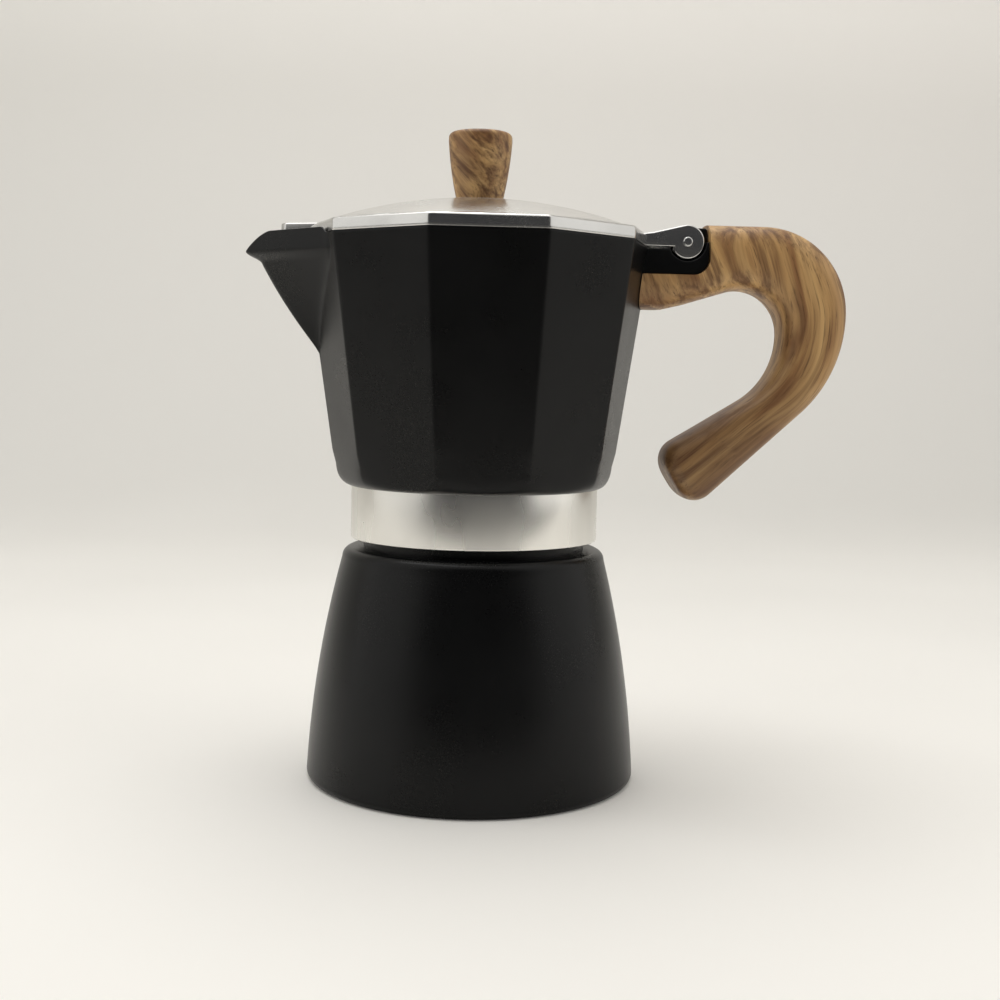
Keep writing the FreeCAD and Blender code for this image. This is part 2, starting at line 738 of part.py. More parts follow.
def make_spout_inside(body):
    """Channel of the spout, open to the jug and at the top."""
    foot = jug_rim - d.spout_keel_drop
    lip = jug_rim - d.spout_lip_drop
    wall = d.spout_wall
    foot_root = jug_corner_radius(foot + wall * 2.0)
    tip_half = d.spout_round - wall * 0.45
    channel = spout_plan(d.jug_rim_radius - wall, d.spout_half_width - wall * 1.6,
                         d.spout_neck_reach - wall * 1.6, tip_half)
    lofted(body, "channel", [
        (spout_plan(foot_root - wall, tip_half, foot_root - wall * 1.7, tip_half * 0.5), foot + wall * 2.0),
        (channel, lip),
    ], kind="SubtractiveLoft")
    mouth = outline(body, "mouth_plan", "XY_Plane",
                    spout_plan(d.jug_rim_radius - wall, d.spout_half_width - wall * 1.6,
                               d.spout_reach - wall * 1.5, tip_half))
    raise_sketch(mouth, lip)
    padded(body, "mouth", mouth, d.spout_lip_drop * 2.0, kind="Pocket", reverse=True)


def make_column(body):
    """Central column with a rounded top, grown from the jug's floor."""
    top = jug_inside + d.column_height
    skirt = d.column_radius + d.column_fillet
    turned(body, "column", [
        (ZERO, jug_inside - OVERCUT),
        (skirt, jug_inside - OVERCUT),
        (skirt, jug_inside, d.column_fillet * OPEN_CORNER, 1),
        (d.column_radius, jug_inside + d.column_fillet),
        (d.column_top_radius, top - d.column_round, d.column_round * 1.45, -1),
        (d.column_top_radius - d.column_round, top),
        (ZERO, top),
    ])


def make_lug(body):
    """Hinge lug: a wide shelf with round pockets for the lid's ears and a middle knuckle for the pin."""
    inner = d.jug_rim_radius - d.jug_wall - OVERCUT
    corner = d.lug_round
    shelf_top = jug_rim - d.part_gap
    shelf = outline(body, "shelf", "XZ_Plane", [
        (inner, lug_bottom),
        (lug_reach - corner, lug_bottom, corner, -1),
        (lug_reach, lug_bottom + corner),
        (lug_reach, hinge_level),
        (d.hinge_reach, hinge_level),
        (d.hinge_reach, shelf_top),
        (inner, shelf_top),
    ])
    padded(body, "lug_shelf", shelf, ear_outside * 2.0 + d.hinge_gap, both_ways=True)
    pockets = circles(body, "ear_pockets", "XZ_Plane",
                      [(d.hinge_reach, hinge_level, d.ear_radius + d.hinge_gap * 2.0)])
    padded(body, "ear_pocket_cut", pockets, ear_outside * 4.0, both_ways=True, kind="Pocket")
    crown = d.ear_radius - d.hinge_gap * 2.0
    crown_top = hinge_level + crown
    bevel = d.part_gap * 3.0
    knuckle = outline(body, "knuckle", "XZ_Plane", [
        (inner, lug_bottom + bevel),
        (lug_reach - corner, lug_bottom + bevel),
        (lug_reach, lug_bottom + corner),
        (lug_reach, crown_top - bevel),
        (lug_reach - bevel, crown_top),
        (d.hinge_reach, crown_top, crown, 1),
        (d.hinge_reach - crown, hinge_level),
        (d.hinge_reach - crown, shelf_top),
        (inner, shelf_top),
    ])
    padded(body, "lug_knuckle", knuckle, d.knuckle_half_width * 2.0, both_ways=True)
    pin_hole = circles(body, "pin_hole", "XZ_Plane", [(d.hinge_reach, hinge_level, d.pin_radius + d.pin_gap)])
    padded(body, "pin_bore", pin_hole, ear_outside * 4.0, both_ways=True, kind="Pocket")
    screw = circles(body, "screw_hole", "XY_Plane", [(d.handle_screw_reach, ZERO, d.handle_screw_radius)])
    raise_sketch(screw, lug_bottom)
    padded(body, "screw_bore", screw, screw_grip, kind="Pocket", reverse=True)


# ---------------------------------------------------------------- handle

screw_grip = d.lug_drop * 0.6
handle_top = jug_rim + d.handle_rise
band_bottom = jug_rim - d.handle_band_drop
handle_half = d.handle_width / 2.0

# The grip's back and finger side lean from the upright, the foot's underside from the level.
GRIP_SLOPE = math.tan(math.radians(42.6))
FINGER_SLOPE = math.tan(math.radians(31.0))
FOOT_SLOPE = math.tan(math.radians(17.1))


def make_handle():
    """Hooked grip cut from a control outline whose corners are rounded one by one, then along its edges."""
    body = new_body("handle")
    finger_reach = d.handle_reach - d.grip_thickness
    back_low = band_bottom - d.grip_turn_drop
    finger_low = band_bottom - d.finger_turn_drop
    finger_high = band_bottom + d.finger_rise
    heel_across = d.handle_reach - d.heel_inset
    heel_up = back_low - (d.handle_reach - heel_across) * GRIP_SLOPE
    toe_across = d.handle_reach - d.toe_inset
    toe_up = finger_low - (finger_reach - toe_across) * FINGER_SLOPE
    foot_bend = finger_reach - (finger_high - band_bottom) / FOOT_SLOPE
    root = d.jug_rim_radius - d.handle_root_inset
    corners = [
        (root, handle_top),
        (root, band_bottom),
        (foot_bend, band_bottom),
        (finger_reach, finger_high),
        (finger_reach, finger_low),
        (toe_across, toe_up),
        (heel_across, heel_up),
        (d.handle_reach, back_low),
        (d.handle_reach, handle_top),
    ]
    grip = outline(body, "grip", "XZ_Plane", corners)
    padded(body, "blank", grip, d.handle_width, both_ways=True)
    bends = [
        ("foot_bend", foot_bend, band_bottom, d.foot_bend_round),
        ("finger_top", finger_reach, finger_high, d.finger_top_round),
        ("finger_low", finger_reach, finger_low, d.finger_low_round),
        ("toe", toe_across, toe_up, d.tail_round),
        ("heel", heel_across, heel_up, d.tail_round),
        ("back_low", d.handle_reach, back_low, d.back_low_round),
        ("back_high", d.handle_reach, handle_top, d.back_high_round),
    ]
    for name, across, up, radius in bends:
        corner = V(plain(across), 0, plain(up))
        upright = edges_where(body, lambda middle, box: middle.distanceToPoint(corner) < NEAR)
        rounded(body, name, upright, radius)
    half = handle_half.value
    left = plain(root)
    sides = edges_where(body, lambda middle, box: abs(abs(middle.y) - half) < TINY and box.YLength < TINY
                        and box.XMax > left + TINY)
    rounded(body, "edges", sides, d.handle_edge_round)

    clearance = d.part_gap / math.cos(FACET_ANGLE / 2)
    notch_low = band_bottom - OVERCUT
    notch_high = handle_top + OVERCUT
    lofted(body, "body_notch", [
        (facet_corners(jug_corner_radius(notch_low) + clearance), notch_low),
        (facet_corners(jug_corner_radius(notch_high) + clearance), notch_high),
    ], kind="SubtractiveLoft")
    step = d.lug_round + d.part_gap
    recess = outline(body, "lug_recess", "XZ_Plane", [
        (root - OVERCUT, lug_bottom),
        (lug_reach + d.part_gap - step, lug_bottom, step, -1),
        (lug_reach + d.part_gap, lug_bottom + step),
        (lug_reach + d.part_gap, handle_top + OVERCUT),
        (root - OVERCUT, handle_top + OVERCUT),
    ])
    padded(body, "recess", recess, d.handle_width * 1.5, both_ways=True, kind="Pocket")
    shank = circles(body, "screw_hole", "XY_Plane",
                    [(d.handle_screw_reach, ZERO, d.handle_screw_radius + d.part_gap / 2.0)])
    raise_sketch(shank, band_bottom)
    padded(body, "screw_bore", shank, d.handle_width * 2.0, both_ways=True, kind="Pocket")
    sink = circles(body, "sink", "XY_Plane", [(d.handle_screw_reach, ZERO, d.handle_screw_head + d.part_gap)])
    raise_sketch(sink, band_bottom - OVERCUT)
    padded(body, "screw_sink", sink, d.handle_screw_cover + OVERCUT, kind="Pocket", reverse=True)

    screw = new_body("handle_screw")
    seat = band_bottom + d.handle_screw_cover
    head_low = seat - d.handle_screw_radius * 1.1
    screw_tip = lug_bottom + screw_grip - d.part_gap * 2.0
    turned(screw, "shank", [
        (ZERO, head_low),
        (d.handle_screw_head, head_low),
        (d.handle_screw_head, seat),
        (d.handle_screw_radius - d.pin_gap, seat),
        (d.handle_screw_radius - d.pin_gap, screw_tip),
        (ZERO, screw_tip),
    ])
    driver_slot(screw, d.handle_screw_head, head_low, (seat - head_low) / 2.0)
    place(screw, (d.handle_screw_reach, ZERO, ZERO))
    return [body, screw]


# ---------------------------------------------------------------- lid

def make_lid():
    """Ten-sided rim, round dome hollowed from below, tongue over the spout and two hinge ears."""
    body = new_body("lid")
    rim = outline(body, "rim", "XY_Plane", facet_corners(d.jug_rim_radius))
    raise_sketch(rim, jug_rim)
    padded(body, "rim_band", rim, d.lid_rim)
    top_edges = edges_where(body, lambda middle, box: box.ZMin > lid_rim_top.value - TINY)
    rounded(body, "rim_edge", top_edges, d.lid_rim * 0.25)

    seat_radius = d.knob_foot_radius + d.part_gap
    rise = d.lid_dome.value
    foot = d.lid_dome_radius.value
    curve = Size((foot * foot + rise * rise) / (2 * rise),
                 "((Sizes.lid_dome_radius ^ 2 + Sizes.lid_dome ^ 2) / (2 * Sizes.lid_dome))")
    turned(body, "dome", [
        (ZERO, jug_rim + OVERCUT),
        (d.lid_dome_radius, jug_rim + OVERCUT),
        (d.lid_dome_radius, lid_rim_top, curve, -1),
        (seat_radius, lid_seat),
        (ZERO, lid_seat),
    ])
    make_tongue(body)
    make_ears(body)
    inner = d.lid_dome_radius - d.jug_wall * 1.6
    turned(body, "hollow", [
        (ZERO, jug_rim - OVERCUT),
        (inner, jug_rim - OVERCUT),
        (inner, lid_rim_top - d.lid_wall, curve, -1),
        (seat_radius, lid_seat - d.lid_wall),
        (ZERO, lid_seat - d.lid_wall),
    ], kind="Groove")
    hole = circles(body, "knob_hole", "XY_Plane", [(ZERO, ZERO, d.knob_screw_radius + d.part_gap)])
    raise_sketch(hole, lid_seat)
    padded(body, "knob_hole_cut", hole, d.lid_wall * 3.0, both_ways=True, kind="Pocket")
    return body


def make_tongue(body):
    """Flat tongue that covers the spout."""
    root = d.jug_rim_radius - d.tongue_thickness * 2.0
    shoulder = d.tongue_reach - d.tongue_corner
    shoulder_half = d.tongue_half_width * 0.55
    end_half = d.tongue_half_width * 0.4
    plan = outline(body, "tongue", "XY_Plane", [
        (-root, -d.tongue_half_width),
        (-root, d.tongue_half_width),
        (-shoulder, shoulder_half),
        (-d.tongue_reach, end_half),
        (-d.tongue_reach, -end_half),
        (-shoulder, -shoulder_half),
    ])
    raise_sketch(plan, jug_rim + d.spout_rise + d.part_gap)
    padded(body, "tongue_pad", plan, d.tongue_thickness)


def make_ears(body):
    """Arm from the rim to the pin, ending in round ears, slotted for the middle knuckle."""
    start = d.jug_rim_radius - d.lid_rim
    arm_low = jug_rim + d.part_gap
    arm_high = hinge_level + d.ear_radius * 0.8
    arm = outline(body, "arm", "XZ_Plane", [
        (start, arm_low),
        (d.hinge_reach - d.ear_radius * 0.6, arm_low),
        (d.hinge_reach, hinge_level),
        (d.hinge_reach, arm_high),
        (start + d.lid_rim / 2.0, lid_rim_top),
        (start, lid_rim_top),
    ])
    padded(body, "arm_pad", arm, ear_outside * 2.0, both_ways=True)
    ear = circles(body, "ear", "XZ_Plane", [(d.hinge_reach, hinge_level, d.ear_radius)])
    padded(body, "ear_pad", ear, ear_outside * 2.0, both_ways=True)
    slot_start = d.jug_rim_radius + d.part_gap * 2.0
    slot_end = d.hinge_reach + d.ear_radius + OVERCUT
    slot_low = hinge_level - d.ear_radius - OVERCUT
    slot = outline(body, "slot", "XZ_Plane", [
        (slot_start, slot_low),
        (slot_end, slot_low),
        (slot_end, handle_top),
        (slot_start, handle_top),
    ])
    padded(body, "knuckle_slot", slot, ear_inside * 2.0, both_ways=True, kind="Pocket")
    pin_hole = circles(body, "pin_hole", "XZ_Plane", [(d.hinge_reach, hinge_level, d.pin_radius + d.pin_gap)])
    padded(body, "pin_bore", pin_hole, ear_outside * 4.0, both_ways=True, kind="Pocket")


def make_hinge_pin():
    """Straight pin with slightly domed ends, along Y."""
    body = new_body("hinge_pin")
    half = ear_outside + d.hinge_gap
    end = half + d.pin_dome
    end_radius = d.pin_radius * 0.6
    turned(body, "pin", [
        (ZERO, -end),
        (end_radius, -end),
        (d.pin_radius, -half),
        (d.pin_radius, half),
        (end_radius, end),
        (ZERO, end),
    ])
    place(body, (d.hinge_reach, ZERO, hinge_level), V(1, 0, 0), -90.0)
    return body


def make_knob():
    """Turned knob with a waist and a softly rounded top, held by a screw and a washer from below."""
    knob = new_body("lid_knob")
    top = lid_seat + d.knob_height
    waist = lid_seat + d.knob_waist_rise
    shoulder = top - d.knob_crown
    turned(knob, "knob", [
        (ZERO, lid_seat),
        (d.knob_foot_radius, lid_seat),
        (d.knob_foot_radius, lid_seat + d.knob_foot_edge, d.knob_height / 2.0, 1),
        (d.knob_waist_radius, waist, d.knob_height * 1.4, -1),
        (d.knob_top_radius, shoulder - d.knob_top_round, d.knob_top_round * OPEN_CORNER, -1),
        (d.knob_top_radius - d.knob_top_round, shoulder, d.knob_height * 4.0, -1),
        (d.knob_screw_radius, top),
        (ZERO, top),
    ])
    screw_end = lid_seat + d.knob_height / 2.0
    bore = disc(d.knob_screw_radius, lid_seat - OVERCUT, screw_end + OVERCUT)
    turned(knob, "screw_bore", bore, kind="Groove")

    ceiling = lid_seat - d.lid_wall
    washer = new_body("knob_washer")
    washer_low = ceiling - d.plate_thickness
    washer_hole = d.knob_screw_radius + d.part_gap
    turned(washer, "ring", washer_outline(washer_hole, d.knob_washer_radius, washer_low, ceiling))
    screw = new_body("knob_screw")
    head = d.knob_screw_radius * 1.9
    head_height = d.knob_screw_radius * 1.2
    head_low = washer_low - head_height
    turned(screw, "screw", [
        (ZERO, head_low),
        (head / 2.0, head_low, head_height * 1.5, -1),
        (head, washer_low),
        (d.knob_screw_radius - d.pin_gap, washer_low),
        (d.knob_screw_radius - d.pin_gap, screw_end),
        (ZERO, screw_end),
    ])
    driver_slot(screw, head, head_low, head_height / 2.0)
    return [knob, washer, screw]


def main():
    pieces = [make_boiler()]
    pieces += make_valve()
    pieces += make_funnel()
    pieces += make_filter()
    pieces.append(make_collector())
    pieces += make_handle()
    pieces.append(make_lid())
    pieces.append(make_hinge_pin())
    pieces += make_knob()
    doc.recompute()

    for item in doc.Objects:
        if "Invalid" in item.State or "Error" in item.State:
            raise RuntimeError("%s is %s" % (item.Name, item.State))
    for piece in pieces:
        shape = piece.Shape
        if shape.isNull() or not shape.isValid() or len(shape.Solids) != 1:
            raise RuntimeError("%s has no single valid solid" % piece.Label)
    os.makedirs("parts", exist_ok=True)
    for piece in pieces:
        piece.Shape.exportStep("parts/%s.step" % piece.Label)
        box = piece.Shape.BoundBox
        print("%-14s volume %10.1f  x %.2f..%.2f  y %.2f..%.2f  z %.2f..%.2f" % (
            piece.Label, piece.Shape.Volume, box.XMin, box.XMax, box.YMin, box.YMax, box.ZMin, box.ZMax))


main()
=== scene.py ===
import math

import bmesh
import bpy
import numpy as np
from mathutils import Matrix, Vector


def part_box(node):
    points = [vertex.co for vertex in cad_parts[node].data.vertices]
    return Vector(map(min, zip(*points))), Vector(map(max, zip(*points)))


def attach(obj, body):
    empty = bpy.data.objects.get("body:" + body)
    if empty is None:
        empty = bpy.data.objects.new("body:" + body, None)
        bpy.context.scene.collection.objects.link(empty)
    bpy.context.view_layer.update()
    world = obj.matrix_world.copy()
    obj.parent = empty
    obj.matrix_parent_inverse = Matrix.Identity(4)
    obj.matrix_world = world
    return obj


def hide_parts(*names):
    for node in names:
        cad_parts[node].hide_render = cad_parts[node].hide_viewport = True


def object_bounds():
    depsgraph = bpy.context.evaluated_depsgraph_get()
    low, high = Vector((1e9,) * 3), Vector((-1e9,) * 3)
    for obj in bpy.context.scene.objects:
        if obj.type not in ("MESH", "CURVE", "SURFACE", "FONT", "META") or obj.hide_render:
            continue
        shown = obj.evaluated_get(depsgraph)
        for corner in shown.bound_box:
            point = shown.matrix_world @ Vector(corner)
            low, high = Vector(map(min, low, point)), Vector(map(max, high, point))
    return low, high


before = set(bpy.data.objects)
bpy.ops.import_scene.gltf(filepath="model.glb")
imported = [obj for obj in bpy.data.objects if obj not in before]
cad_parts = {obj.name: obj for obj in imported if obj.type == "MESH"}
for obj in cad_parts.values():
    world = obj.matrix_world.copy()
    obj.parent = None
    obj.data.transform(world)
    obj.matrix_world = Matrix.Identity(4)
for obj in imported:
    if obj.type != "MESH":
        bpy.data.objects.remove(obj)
cad_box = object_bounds()

# Stovetop moka pot.  Lengths are in millimetres until a mesh is written, in metres.
MM = 0.001
FACETS = 10
FACET_ANGLE = 2 * math.pi / FACETS
FACET_SHARPNESS = 320.0  # power of the soft least that rounds the corners between two facets
SPOUT_SHARPNESS = 130.0
BLEND_SHARPNESS = 90.0
FOOT_SHARPNESS = 60.0
GRAIN_FALL = 0.94  # the grain follows the grip from where it falls this steeply (sine of the slope)
GRAIN_RUN_UP = 90.0  # and runs straight up from there by this length


def corner_mm(node, which):
    """Low (0) or high (1) corner of a CAD node's box."""
    return np.array(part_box(node)[which]) / MM


# ---------------------------------------------------------------- sizes read from the frame

neck_top = corner_mm("boiler", 1)[2]
neck_height = 13.0
shoulder = neck_top - neck_height
boiler_foot_radius = 51.3
boiler_top_radius = 40.9
boiler_wall = 3.0
boiler_floor = 4.0
neck_radius = 34.3
neck_bore = 31.6
boss_radius = 9.5
boss_foot_radius = 13.0
thread_pitch = 3.0
thread_depth = 0.9

collar_low = corner_mm("collector", 0)[2]
plate_top = corner_mm("filter_plate", 1)[2]
collar_radius = 38.33
collar_bore = 36.4

lid_seat = corner_mm("lid", 1)[2]
dome_rise = 9.4
lid_band_height = 3.9
seat_sink = 0.25  # the knob's flat seat lies this far below the dome's crown
jug_rim = lid_seat - dome_rise - (lid_band_height - seat_sink)
jug_inside = plate_top + 3.8
jug_foot_corner = 42.8
jug_rim_corner = 53.66
corner_slope = (jug_rim_corner - jug_foot_corner) / (jug_rim - plate_top)
jug_wall = 2.6
jug_foot_round = 6.6
column_top = jug_inside + 53.0

spout_reach = -corner_mm("collector", 0)[0]
spout_neck = spout_reach - 3.5
spout_foot = jug_rim - 34.3
spout_lip = jug_rim - 4.6
spout_top = jug_rim + 1.7
spout_half_width = 27.5
keel_half = 2.6

pin_low, pin_high = corner_mm("hinge_pin", 0), corner_mm("hinge_pin", 1)
hinge_x = (pin_low[0] + pin_high[0]) / 2
hinge_z = (pin_low[2] + pin_high[2]) / 2
pin_radius = 1.5
ear_radius = 5.2
ear_inside = 5.8
ear_outside = 9.0
lug_reach = corner_mm("collector", 1)[0]
lug_low = jug_rim - 8.1
lug_round = 5.0

lid_band_top = jug_rim + lid_band_height
dome_radius = 50.5
lid_inner = 46.34
lid_wall = 1.8
knob_hole = 2.3
knob_seat_radius = 7.8
tongue_root = 46.5

knob_foot_radius = 7.25
knob_wide_radius = 9.75
knob_top = cad_box[1].z / MM
handle_reach = cad_box[1].x / MM
handle_top = jug_rim + 7.8
handle_low = jug_rim - 18.5
handle_half = 10.0
handle_gap = 0.3


# ---------------------------------------------------------------- shapes

def grid_faces(rows, columns, wrap_rows=False, wrap_columns=False):
    """Four corner numbers for each cell of a grid whose points are numbered row by row."""
    row, column = np.meshgrid(
        np.arange(rows if wrap_rows else rows - 1),
        np.arange(columns if wrap_columns else columns - 1),
        indexing="ij",
    )
    next_row, next_column = (row + 1) % rows, (column + 1) % columns
    cells = [row * columns + column, next_row * columns + column,
             next_row * columns + next_column, row * columns + next_column]
    return np.stack(cells, axis=-1).reshape(-1, 4).tolist()


def add_mesh(name, points, faces, sharp=34.0):
    """Mesh object from points in millimetres: doubles merged, faces outwards, smooth but for sharp edges."""
    mesh = bpy.data.meshes.new(name)
    mesh.from_pydata((points.reshape(-1, 3) * MM).tolist(), [], faces)
    shape = bmesh.new()
    shape.from_mesh(mesh)
    bmesh.ops.remove_doubles(shape, verts=shape.verts, dist=2e-6)
    bmesh.ops.dissolve_degenerate(shape, edges=shape.edges, dist=1e-6)
    bmesh.ops.recalc_face_normals(shape, faces=shape.faces)
    shape.to_mesh(mesh)
    shape.free()
    mesh.shade_smooth()
    mesh.set_sharp_from_angle(angle=math.radians(sharp))
    made = bpy.data.objects.new(name, mesh)
    bpy.context.scene.collection.objects.link(made)
    return made


def bow(start, end, bulge, count):
    """Points from start to end on a parabola that stands `bulge` to the right of the way at its middle."""
    t = np.linspace(0, 1, count)[:, None]
    start, end = np.array(start, float), np.array(end, float)
    way = end - start
    side = np.array([way[1], -way[0]]) / np.hypot(*way)
    return start + way * t + side * (4 * bulge * t * (1 - t))


def softened(corners, closed=True, steps=8):
    """Outline whose corners (across, up, radius) become arcs that touch both sides, `steps` spans each."""
    corners = np.array(corners, float)
    count = len(corners)
    out = []
    for index in range(count):
        here, radius = corners[index, :2], corners[index, 2]
        if radius <= 0 or (not closed and index in (0, count - 1)):
            out.append(here[None])
            continue
        back = corners[index - 1, :2] - here
        on = corners[(index + 1) % count, :2] - here
        back /= np.hypot(*back)
        on /= np.hypot(*on)
        half = math.acos(np.clip(back @ on, -1, 1)) / 2
        middle = (back + on) / np.hypot(*(back + on))
        centre = here + middle * (radius / math.sin(half))
        first = here + back * (radius / math.tan(half)) - centre
        last = here + on * (radius / math.tan(half)) - centre
        sweep = math.pi - 2 * half
        t = np.linspace(0, 1, steps + 1)[:, None]
        arc = (np.sin((1 - t) * sweep) * first + np.sin(t * sweep) * last) / math.sin(sweep)
        out.append(centre + arc)
    return np.concatenate(out)


def turned(name, profile, steps=160, centre=(0, 0, 0), along="z", ripple=None, closed=False, sharp=34.0):
    """Profile of (radius, height) carried round an axis; ripple(angle, height) adds to the radius."""
    angle = np.linspace(0, 2 * math.pi, steps, endpoint=False)[:, None]
    radius, height = profile[None, :, 0], profile[None, :, 1] + angle * 0
    radius = radius + (ripple(angle, height) if ripple else angle * 0)
    across, deep = radius * np.cos(angle), radius * np.sin(angle)
    if along == "z":
        points = np.stack([across, deep, height], axis=-1)
    else:
        points = np.stack([across, height, deep], axis=-1)
    faces = grid_faces(steps, len(profile), wrap_rows=True, wrap_columns=closed)
    return add_mesh(name, points + np.array(centre, float), faces, sharp)


def offset_outline(outline, inset):
    """Outline moved inwards: each point goes along the mean of its two sides' normals."""
    way = np.roll(outline, -1, axis=0) - outline
    way /= np.hypot(way[:, 0], way[:, 1])[:, None]
    normal = np.stack([-way[:, 1], way[:, 0]], axis=-1)
    mean = normal + np.roll(normal, 1, axis=0)
    mean /= np.maximum((mean * normal).sum(axis=1), 0.3)[:, None]
    return outline + mean * inset


def slab(name, outline, low, high, edge, flat="y", steps=4, sharp=34.0):
    """Outline carried straight from low to high, its rims rounded by quarter arcs of radius `edge`."""
    area = (outline[:, 0] * np.roll(outline[:, 1], -1) - outline[:, 1] * np.roll(outline[:, 0], -1)).sum()
    if area < 0:
        outline = outline[::-1]
    turn = np.linspace(0, math.pi / 2, steps + 1)
    insets = np.concatenate([edge * (1 - np.sin(turn)), edge * (1 - np.cos(turn))])
    levels = np.concatenate([low + edge * (1 - np.cos(turn)), high - edge * (1 - np.sin(turn))])
    rings = np.stack([offset_outline(outline, inset) for inset in insets])
    deep = np.broadcast_to(levels[:, None], rings.shape[:2])
    if flat == "y":
        points = np.stack([rings[..., 0], deep, rings[..., 1]], axis=-1)
    else:
        points = np.stack([rings[..., 0], rings[..., 1], deep], axis=-1)
    count = len(outline)
    faces = grid_faces(len(insets), count, wrap_columns=True)
    last = (len(insets) - 1) * count
    faces += [list(range(count))[::-1], list(range(last, last + count))]
    return add_mesh(name, points, faces, sharp)


def ease(x):
    """Smooth step from 0 at x = 0 to 1 at x = 1."""
    x = np.clip(x, 0, 1)
    return x * x * (3 - 2 * x)


def thread(start, end, side):
    """Ripple of a screw thread: a flat-topped ridge that climbs one pitch a turn and fades at both ends."""
    def ripple(angle, height):
        phase = (height - thread_pitch * angle / (2 * math.pi) - start) / thread_pitch
        ridge = np.clip(1.35 - 4.2 * np.abs(phase - np.round(phase)), 0, 1)
        inside = ease((height - start) / 1.2) * ease((end - height) / 1.2)
        return side * thread_depth * ridge * inside
    return ripple


def level_profile(radius, low, high, count):
    """Upright line of (radius, height) points, close enough together to carry a thread."""
    return np.stack([np.full(count, radius), np.linspace(low, high, count)], axis=-1)


# ---------------------------------------------------------------- ten-sided body with its spout

def facet_planes():
    """Directions of the ten facets; a corner points to +X and another to -X."""
    return (np.arange(FACETS) + 0.5) * FACET_ANGLE


def soft_least(limits, power):
    """Smallest of several reaches with soft corners: one over the power sum of their inverses."""
    largest = limits.max(axis=0)
    return 1.0 / (largest * np.sum((limits / largest) ** power, axis=0) ** (1.0 / power))


def plane_limits(angle, directions, distances):
    """Inverse reach from the axis to each plane along `angle`; planes that face away give none."""
    out = [np.maximum(np.cos(angle - turn), 0) / distance for turn, distance in zip(directions, distances)]
    return np.stack(np.broadcast_arrays(*out))


def body_reach(angle, level, inset=0.0):
    """Reach of the plain ten-sided body: soft least of the ten facet planes at that level."""
    apothem = (jug_foot_corner + corner_slope * (level - plate_top)) * math.cos(FACET_ANGLE / 2) - inset
    return soft_least(plane_limits(angle, facet_planes(), [apothem] * FACETS), FACET_SHARPNESS)


def spout_reach_at(angle, level, inset=0.0):
    """Reach of the spout's wedge: soft least of its keel, two flanks, two side limits and a back limit.

    At a share t of the way up from its foot, the wedge's root follows the body's corner, its half width opens
    in step with t, and its neck runs from the corner to spout_neck and curls out to the lip at the top.
    """
    root_sink, root_share, back_limit, side_gap = 0.65, 0.83, 20.0, 0.1
    curl_start, curl_height = 2.6, 3.4
    foot_half = 0.9 * keel_half
    t = np.clip((level - spout_foot) / (spout_lip - spout_foot), 0.0, 1.0)
    root = jug_foot_corner + corner_slope * (spout_foot - plate_top)
    root = root + (jug_rim_corner - root) * t
    half = foot_half + (spout_half_width - foot_half) * t
    tip = (0.4 + 0.6 * t) * keel_half
    curl = ease((level - spout_lip + curl_start) / curl_height)
    neck = root - root_sink + (spout_neck - root + root_sink) * t + (spout_reach - spout_neck) * curl
    flank_along, flank_across = neck - root_share * root, half - tip
    length = np.hypot(flank_along, flank_across)
    flank = (flank_across * root_share * root + flank_along * half) / length
    turn = np.arctan2(flank_along, flank_across)
    west = math.pi
    directions = [west, west - turn, west + turn, west - math.pi / 2, west + math.pi / 2, 0.0]
    reaches = [neck, flank, flank, half + side_gap, half + side_gap]
    distances = [np.maximum(reach - inset, 0.5) for reach in reaches] + [back_limit]
    return soft_least(plane_limits(angle, directions, distances), SPOUT_SHARPNESS)


def jug_reach(angle, level, inset=0.0):
    """Body and spout joined: the larger reach, blended softly where they meet."""
    body = body_reach(angle, level, inset)
    spout = np.where(level > spout_foot, spout_reach_at(angle, level, inset), 0.0)
    return (body ** BLEND_SHARPNESS + spout ** BLEND_SHARPNESS) ** (1 / BLEND_SHARPNESS)


def jug_angles():
    """Angles round the body, closer together at its corners and over the spout."""
    plain = np.linspace(0, 2 * math.pi, 200, endpoint=False)
    near = np.linspace(-1.6, 1.6, 11) * math.pi / 180
    corners = (np.arange(FACETS)[:, None] * FACET_ANGLE + near).ravel() % (2 * math.pi)
    keel = math.pi + np.linspace(-8, 8, 41) * math.pi / 180
    flanks = math.pi + np.linspace(-42, 42, 113) * math.pi / 180
    return np.unique(np.round(np.concatenate([plain, corners, keel, flanks]), 5))


def polar_points(angle, reach, level):
    """Points at a reach from the upright axis, for each angle and level."""
    reach, level = np.broadcast_arrays(reach, level)
    return np.stack([reach * np.cos(angle), reach * np.sin(angle), level], axis=-1)


